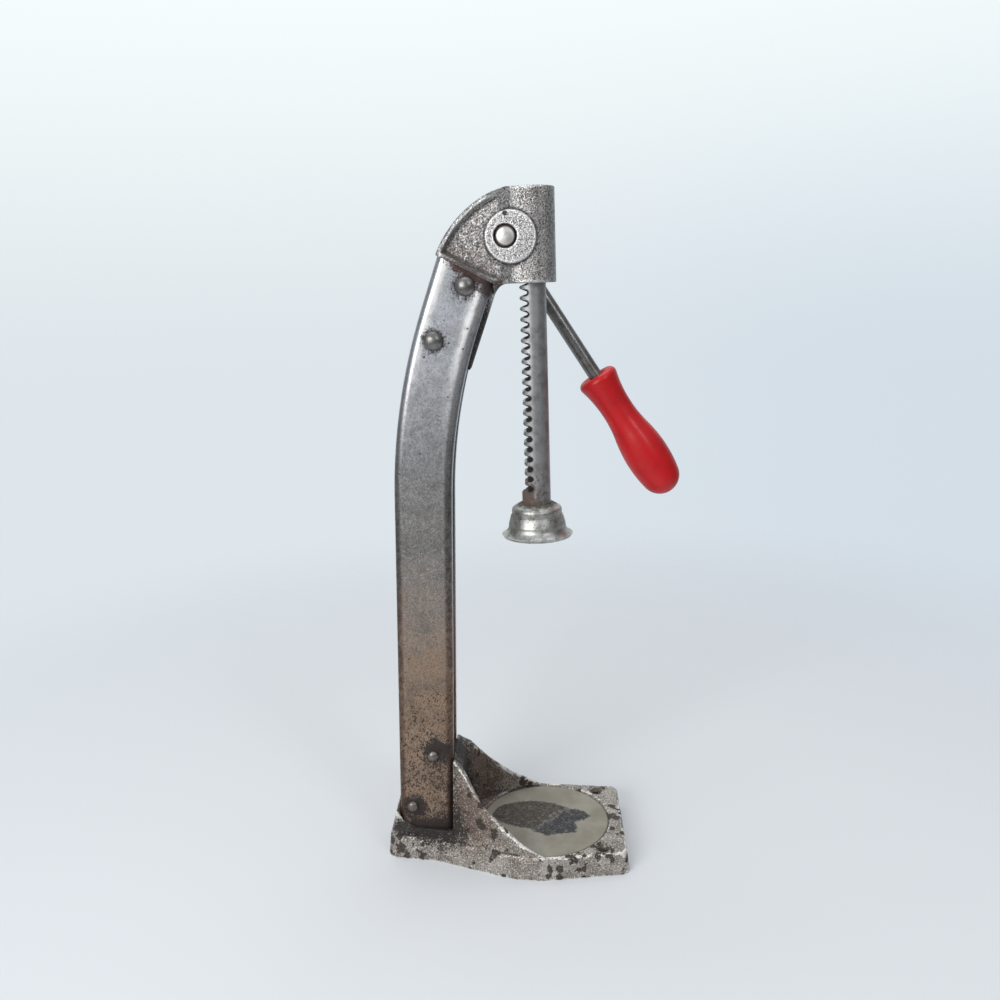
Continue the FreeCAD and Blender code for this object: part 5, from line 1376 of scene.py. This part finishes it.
@dataclass
class Rivets(Assembly):
    """Heads of the four rivets on both sides of the column, set by one Geometry Nodes tree.

    Attributes:
        half: Distance of the column's sides from the middle.
        places: The rivets.
        seed: Seed of their small differences.
        rings: Number of steps along and round a head.
        uneven: Largest share by which a head is smaller.
    """

    half: float = 18.0
    places: tuple[RivetPlace, ...] = (
        RivetPlace("base_rivet_lower", -88.0, 36.5, 3.9, 2.6),
        RivetPlace("base_rivet_upper", -72.6, 73.0, 3.9, 2.6),
        RivetPlace("head_rivet_lower", -58.6, 342.7, 6.0, 4.2),
        RivetPlace("head_rivet_upper", -38.4, 373.6, 6.0, 4.2),
    )
    seed: int = 7
    rings: int = 48
    uneven: float = 0.04

    def tree(self) -> bpy.types.NodeTree:
        """Returns:
            The tree, with a dome for every point.
        """
        tree = bpy.data.node_groups.new("rivet_heads", "GeometryNodeTree")
        graph = Graph(tree)
        for name, kind in (("Geometry", "Geometry"), ("Segments", "Int"), ("Unevenness", "Float"),
                           ("Seed", "Int"), ("Finish", "Material")):
            tree.interface.new_socket(name, in_out="INPUT", socket_type="NodeSocket" + kind)
        tree.interface.new_socket("Geometry", in_out="OUTPUT", socket_type="NodeSocketGeometry")
        given = graph.add("NodeGroupInput").outputs
        values = {"Segments": given["Segments"], "Rings": self.rings, "Radius": 1.0}
        ball = graph.add("GeometryNodeMeshUVSphere", values)
        where = graph.add("GeometryNodeInputPosition").outputs[0]
        height = graph.add("ShaderNodeSeparateXYZ", {0: where}).outputs["Z"]
        under = graph.calc("LESS_THAN", height, -0.01)
        half = graph.add("GeometryNodeDeleteGeometry", {"Geometry": ball.outputs["Mesh"], "Selection": under})
        size = graph.add("GeometryNodeInputNamedAttribute", {"Name": "dome_size"}, data_type="FLOAT_VECTOR")
        turn = graph.add("GeometryNodeInputNamedAttribute", {"Name": "turn"}, data_type="FLOAT_VECTOR")
        low = graph.minus(1.0, given["Unevenness"])
        vary = graph.add("FunctionNodeRandomValue", {"Seed": given["Seed"]}, data_type="FLOAT")
        graph.feed(vary.inputs[2], low)
        graph.feed(vary.inputs[3], 1.0)
        scale = graph.vector("MULTIPLY", size.outputs[0], vary.outputs[1]).outputs[0]
        heads = graph.add("GeometryNodeInstanceOnPoints", {
            "Points": given["Geometry"], "Instance": half.outputs[0], "Rotation": turn.outputs[0],
            "Scale": scale})
        real = graph.add("GeometryNodeRealizeInstances", {0: heads.outputs[0]})
        values = {"Geometry": real.outputs[0], "Material": given["Finish"]}
        painted = graph.add("GeometryNodeSetMaterial", values)
        graph.feed(graph.add("NodeGroupOutput").inputs[0], painted.outputs[0])
        return tree

    def build(self) -> None:
        """Makes the points, applies the tree and keeps the plain mesh."""
        points, sizes, turns = [], [], []
        for place in self.places:
            for side in (-1.0, 1.0):
                points.append((place.x * MM, side * self.half * MM, place.z * MM))
                sizes.append((place.radius * MM, place.radius * MM, place.dome * MM))
                turns.append((-side * math.pi / 2.0, 0.0, 0.0))
        mesh = bpy.data.meshes.new("rivet_points")
        mesh.from_pydata(points, [], [])
        for name, rows in (("dome_size", sizes), ("turn", turns)):
            attribute = mesh.attributes.new(name, "FLOAT_VECTOR", "POINT")
            attribute.data.foreach_set("vector", np.array(rows).ravel())
        obj = link(bpy.data.objects.new("rivets", mesh))
        modifier = obj.modifiers.new("heads", "NODES")
        modifier.node_group = self.tree()
        values = {"Segments": self.rings, "Unevenness": self.uneven, "Seed": self.seed,
                  "Finish": RIVET_FINISH.material()}
        for item in modifier.node_group.interface.items_tree:
            if item.in_out == "INPUT" and item.name in values:
                modifier[item.identifier] = values[item.name]
        shade(apply_modifiers(obj))
        self.obj = self.stand_in(obj, *[place.node for place in self.places])

    def dress(self) -> None:
        """Gives the rivets their finish."""
        finish_piece(self.obj, RIVET_FINISH)


@dataclass
class Plunger(Assembly):
    """The toothed rod with its bell.

    Attributes:
        top: Height of the bell's top.
        sheet: Sheet thickness of the bell.
        hole: Radius of its hole.
        flat_r: Radius of its flat top.
        slope_r: Radius where the sloping top ends.
        slope_drop: Fall of the sloping top.
        shoulder_r: Radius under the shoulder.
        shoulder: Depth of the shoulder.
        shoulder_curve: Rounding of the shoulder.
        crease: Depth of the crease.
        crease_step: Step at the crease.
        skirt_r: Radius at the end of the skirt.
        skirt: Depth of the skirt.
        rim_r: Radius of the rim.
        height: Whole height.
        flare_r: Radius of the flare.
    """

    top: float = 238.5
    sheet: float = 1.6
    hole: float = 2.6
    flat_r: float = 11.0
    slope_r: float = 14.3
    slope_drop: float = 1.9
    shoulder_r: float = 15.8
    shoulder: float = 4.5
    shoulder_curve: float = 2.6
    crease: float = 7.0
    crease_step: float = 0.7
    skirt_r: float = 18.1
    skirt: float = 13.8
    rim_r: float = 22.5
    height: float = 21.0
    flare_r: float = 6.2
    body = Body.PLUNGER

    def build(self) -> None:
        """Makes the bell."""
        top, t, r1, r2 = self.top, self.sheet, self.shoulder_r, self.shoulder_r + self.crease_step
        profile = outline([
            (self.hole, top - t), (self.flat_r - 0.2 * t, top - t),
            (self.slope_r - 0.45 * t, top - self.slope_drop - 0.9 * t, -(self.shoulder_curve - t)),
            (r1 - t, top - self.shoulder), (r1 - t, top - self.crease),
            (self.skirt_r - t, top - self.skirt, self.flare_r + t), (self.rim_r - t / 2.0, top - self.height),
            (self.rim_r, top - self.height + t * 0.8, -self.flare_r),
            (self.skirt_r, top - self.skirt + t / 3.0),
            (r2 + 0.05, top - self.crease - self.crease_step, -0.5), (r1, top - self.crease),
            (r1, top - self.shoulder, self.shoulder_curve), (self.slope_r, top - self.slope_drop),
            (self.flat_r, top), (self.hole, top), (self.hole, top - t),
        ], 0.35)
        bell = lathe("bell", guarded(profile, 0.15), Matrix.Identity(4), 160)
        self.bell = self.stand_in(bell, "crimping_bell")

    def dress(self) -> None:
        """Gives the plunger's pieces their finishes."""
        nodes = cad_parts
        finish_piece(self.bell, BELL_FINISH)
        finish_piece(nodes["rack_rod"], ROD_FINISH)
        finish_piece(nodes["bell_washer"], HUB_FINISH)
        finish_piece(nodes["bell_screw"], HUB_FINISH)


@dataclass
class Lever(Assembly):
    """The crank: shaft, hub, rod and grip.

    Attributes:
        pivot: Where the lever's own axis starts.
        angle: Degrees below the horizontal.
        start: Distance of the grip's top from the shaft.
        length: Length of the grip.
        bore: Radius of its bore.
        bore_depth: Depth of the bore.
        dish: Depth of the dished top.
        dish_r: Radius of the dish's floor.
        lip_r: Radius of the lip.
        bead_r: Rounding of the bead below the lip.
        flare_r: Radius of the bead.
        flare: Depth of the bead.
        neck_curve: Radius of the hollow neck line.
        neck_end: End of the neck line.
        neck_end_r: Radius there.
        belly_curve: Radius of the belly line.
        belly_end: End of the belly line.
        belly_end_r: Radius there.
    """

    pivot: Point = (-14.1, 35.0, 401.0)
    angle: float = 58.0
    start: float = 102.5
    length: float = 91.9
    bore: float = 4.55
    bore_depth: float = 60.0
    dish: float = 3.0
    dish_r: float = 6.0
    lip_r: float = 10.7
    bead_r: float = 4.0
    flare_r: float = 13.05
    flare: float = 4.8
    neck_curve: float = 84.0
    neck_end: float = 44.0
    neck_end_r: float = 12.2
    belly_curve: float = 91.0
    belly_end: float = 81.4
    belly_end_r: float = 12.7
    body = Body.LEVER

    def build(self) -> None:
        """Makes the grip."""
        s = self.start
        cap = self.length - self.belly_end
        cap_curve = (self.belly_end_r ** 2 + cap ** 2) / (2.0 * cap)
        profile = outline([
            (self.bore, s + self.bore_depth), (self.bore, s + self.dish), (self.dish_r, s + self.dish, 8.0),
            (self.lip_r, s, self.bead_r), (self.flare_r, s + self.flare, -self.neck_curve),
            (self.neck_end_r, s + self.neck_end, self.belly_curve),
            (self.belly_end_r, s + self.belly_end, cap_curve),
            (0.0, s + self.length),
        ], 0.8)
        turn = Matrix.Rotation(math.radians(90.0 + self.angle), 4, "Y")
        place = Matrix.Translation(Vector(self.pivot)) @ turn
        self.grip = self.stand_in(lathe("grip", profile, place, 128), "lever_handle")

    def dress(self) -> None:
        """Gives the lever's pieces their finishes."""
        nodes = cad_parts
        finish_piece(self.grip, GRIP_FINISH)
        finish_piece(nodes["pinion_shaft"], SHAFT_FINISH)
        finish_piece(nodes["lever_rod"], LEVER_ROD_FINISH)
        finish_piece(nodes["lever_hub"], HUB_FINISH)
        finish_piece(nodes["hub_pin"], HUB_FINISH)
        finish_piece(nodes["lever_nut"], HUB_FINISH)


@dataclass
class Bearings(Assembly):
    """Bushes and washer of the shaft, shown as their CAD nodes.

    Attributes:
        nodes: Their names.
    """

    nodes: tuple[str, ...] = ("near_bush", "far_bush", "thrust_washer")

    def build(self) -> None:
        """Checks that the nodes are there."""
        for node in self.nodes:
            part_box(node)

    def dress(self) -> None:
        """Gives them their finish."""
        for node in self.nodes:
            finish_piece(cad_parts[node], BRONZE_FINISH)


@dataclass(frozen=True)
class Lamp:
    """A soft area light.

    Attributes:
        name: Its name.
        place: Where it stands, in metres.
        target: What it points at, in metres.
        size: Its side lengths in metres.
        power: Its power in watts.
        colour: Its colour.
    """

    name: str
    place: Point
    target: Point
    size: tuple[float, float]
    power: float
    colour: Colour = (1.0, 1.0, 1.0)

    def build(self) -> None:
        """Makes the light."""
        light = bpy.data.lights.new(self.name, "AREA")
        light.shape = "RECTANGLE"
        light.size, light.size_y = self.size
        light.energy = self.power
        light.color = self.colour
        obj = link(bpy.data.objects.new(self.name, light))
        obj.location = self.place
        direction = Vector(self.target) - Vector(self.place)
        obj.rotation_euler = direction.to_track_quat("-Z", "Y").to_euler()
        obj.visible_camera = False


@dataclass
class Studio:
    """Floor, lights, surroundings and camera.

    Attributes:
        floor_reach: Radius of the floor in metres.
        lamps: The lights.
        lens: Focal length in millimetres.
        sensor: Width of the sensor in millimetres.
        clip: Distance in metres where the camera starts to see.
        eye: Place of the camera in metres.
        right: Its right direction.
        up: Its up direction.
        ahead: Its viewing direction.
    """

    floor_reach: float = 1.2
    lamps: tuple[Lamp, ...] = (
        Lamp("key", (-0.8, -1.25, 0.7), (-0.02, 0.0, 0.26), (0.9, 0.8), 14.5),
        Lamp("fill", (0.75, -1.1, 0.95), (-0.02, 0.0, 0.26), (0.35, 0.35), 3.0, (0.95, 0.97, 1.0)),
        Lamp("top", (-0.1, 0.2, 1.6), (-0.02, 0.0, 0.1), (1.2, 1.2), 8.0, (0.96, 0.98, 1.0)),
    )
    lens: float = 33.3
    sensor: float = 36.0
    clip: float = 0.01
    eye: Point = (-0.00002, -0.5705, 0.3745)
    right: Point = (0.99885809, 0.03237465, -0.0351339)
    up: Point = (0.02679564, 0.22920816, 0.97300854)
    ahead: Point = (-0.03955378, 0.97283889, -0.22807892)

    def build(self) -> None:
        """Makes the studio."""
        self.make_floor()
        self.make_world()
        for lamp in self.lamps:
            lamp.build()
        self.make_camera()
        bpy.context.scene.view_settings.view_transform = "Standard"

    def make_floor(self) -> None:
        """Makes a pale floor that fades out around the object."""
        turns = 96
        angles = np.linspace(0.0, 2.0 * math.pi, turns, endpoint=False)
        ring = np.stack([np.cos(angles), np.sin(angles), np.zeros(turns)], 1) * self.floor_reach / MM
        floor = mesh_object("floor", ring, [list(range(turns))])
        material = bpy.data.materials.new("floor_paper")
        material.use_nodes = True
        graph = Graph(material.node_tree)
        away = graph.vector("LENGTH", graph.place()).outputs[1]
        paper = graph.add("ShaderNodeBsdfDiffuse", {"Color": tone(222, 225, 228)})
        clear = graph.add("ShaderNodeBsdfTransparent")
        share = graph.remap(away, self.floor_reach * 0.2, self.floor_reach * 0.75)
        mixed = graph.add("ShaderNodeMixShader", {0: share, 1: paper.outputs[0], 2: clear.outputs[0]})
        graph.feed(graph.add("ShaderNodeOutputMaterial").inputs["Surface"], mixed.outputs[0])
        floor.data.materials.append(material)

    def make_world(self) -> None:
        """Makes the surroundings: a pale backdrop, mirrored only towards +Y, and a dim room elsewhere."""
        world = bpy.data.worlds.new("studio")
        bpy.context.scene.world = world
        world.use_nodes = True
        graph = Graph(world.node_tree)
        direction = graph.add("ShaderNodeTexCoord").outputs["Generated"]
        axes = graph.add("ShaderNodeSeparateXYZ", {0: direction})
        low = graph.blend(graph.remap(axes.outputs["X"], -0.2, 0.4), tone(222, 230, 235), tone(212, 222, 231))
        seen = graph.blend(graph.remap(axes.outputs["Z"], -0.1, 0.35), low, tone(247, 255, 255))
        room = graph.blend(graph.remap(axes.outputs["X"], -0.8, 0.8), (0.27, 0.28, 0.28), (0.13, 0.13, 0.135))
        room = graph.blend(graph.remap(axes.outputs["Y"], 0.4, 0.95, 0.0, 0.8), room, (0.42, 0.45, 0.47))
        room = graph.blend(graph.remap(axes.outputs["Z"], 0.3, 0.9, 0.0, 0.8), room, (0.75, 0.77, 0.8))
        room = graph.blend(graph.remap(axes.outputs["Z"], 0.0, -0.4, 0.0, 0.8), room, (0.3, 0.26, 0.23))
        ray = graph.add("ShaderNodeLightPath").outputs
        mirrored = graph.most(ray["Is Glossy Ray"], ray["Is Transmission Ray"])
        mirrored = graph.times(mirrored, graph.remap(axes.outputs["Y"], 0.3, 0.9))
        shown = graph.most(ray["Is Camera Ray"], mirrored)
        backdrop = graph.add("ShaderNodeBackground", {"Color": seen, "Strength": 1.0})
        reflected = graph.add("ShaderNodeBackground", {"Color": room, "Strength": 1.0})
        mixed = graph.add("ShaderNodeMixShader", {0: shown, 1: reflected.outputs[0], 2: backdrop.outputs[0]})
        graph.feed(graph.add("ShaderNodeOutputWorld").inputs["Surface"], mixed.outputs[0])

    def make_camera(self) -> None:
        """Makes the camera and gives it to the scene."""
        camera = bpy.data.cameras.new("camera")
        camera.lens, camera.sensor_width, camera.clip_start = self.lens, self.sensor, self.clip
        obj = link(bpy.data.objects.new("camera", camera))
        rows = zip(self.right, self.up, (-v for v in self.ahead), self.eye)
        obj.matrix_world = Matrix([list(row) for row in rows] + [[0.0, 0.0, 0.0, 1.0]])
        bpy.context.scene.camera = obj


def main() -> None:
    """Builds and dresses the capper in its studio."""
    logging.basicConfig(level=logging.INFO, format="%(name)s: %(message)s")
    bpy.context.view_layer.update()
    assemblies: list[Assembly] = [
        Casting("base_casting", "foot", FOOT_FINISH, Slot.FOOT, voxel=0.92, rounds=3, spread=10),
        Casting("head_casting", "head", HEAD_FINISH, Slot.HEAD, voxel=0.6, rounds=4, spread=24,
                bores=((0.0, 0.0, 9.08),), sunk_half=14.8, back=(5.9, 365.1, 66.4)),
        SeatPad(),
        Column(),
        Rivets(),
        Bearings(),
        Plunger(),
        Lever(),
    ]
    for assembly in assemblies:
        assembly.build()
        assembly.dress()
        log.info("built %s", type(assembly).__name__)
    Studio().build()


if __name__ == "__main__":
    main()
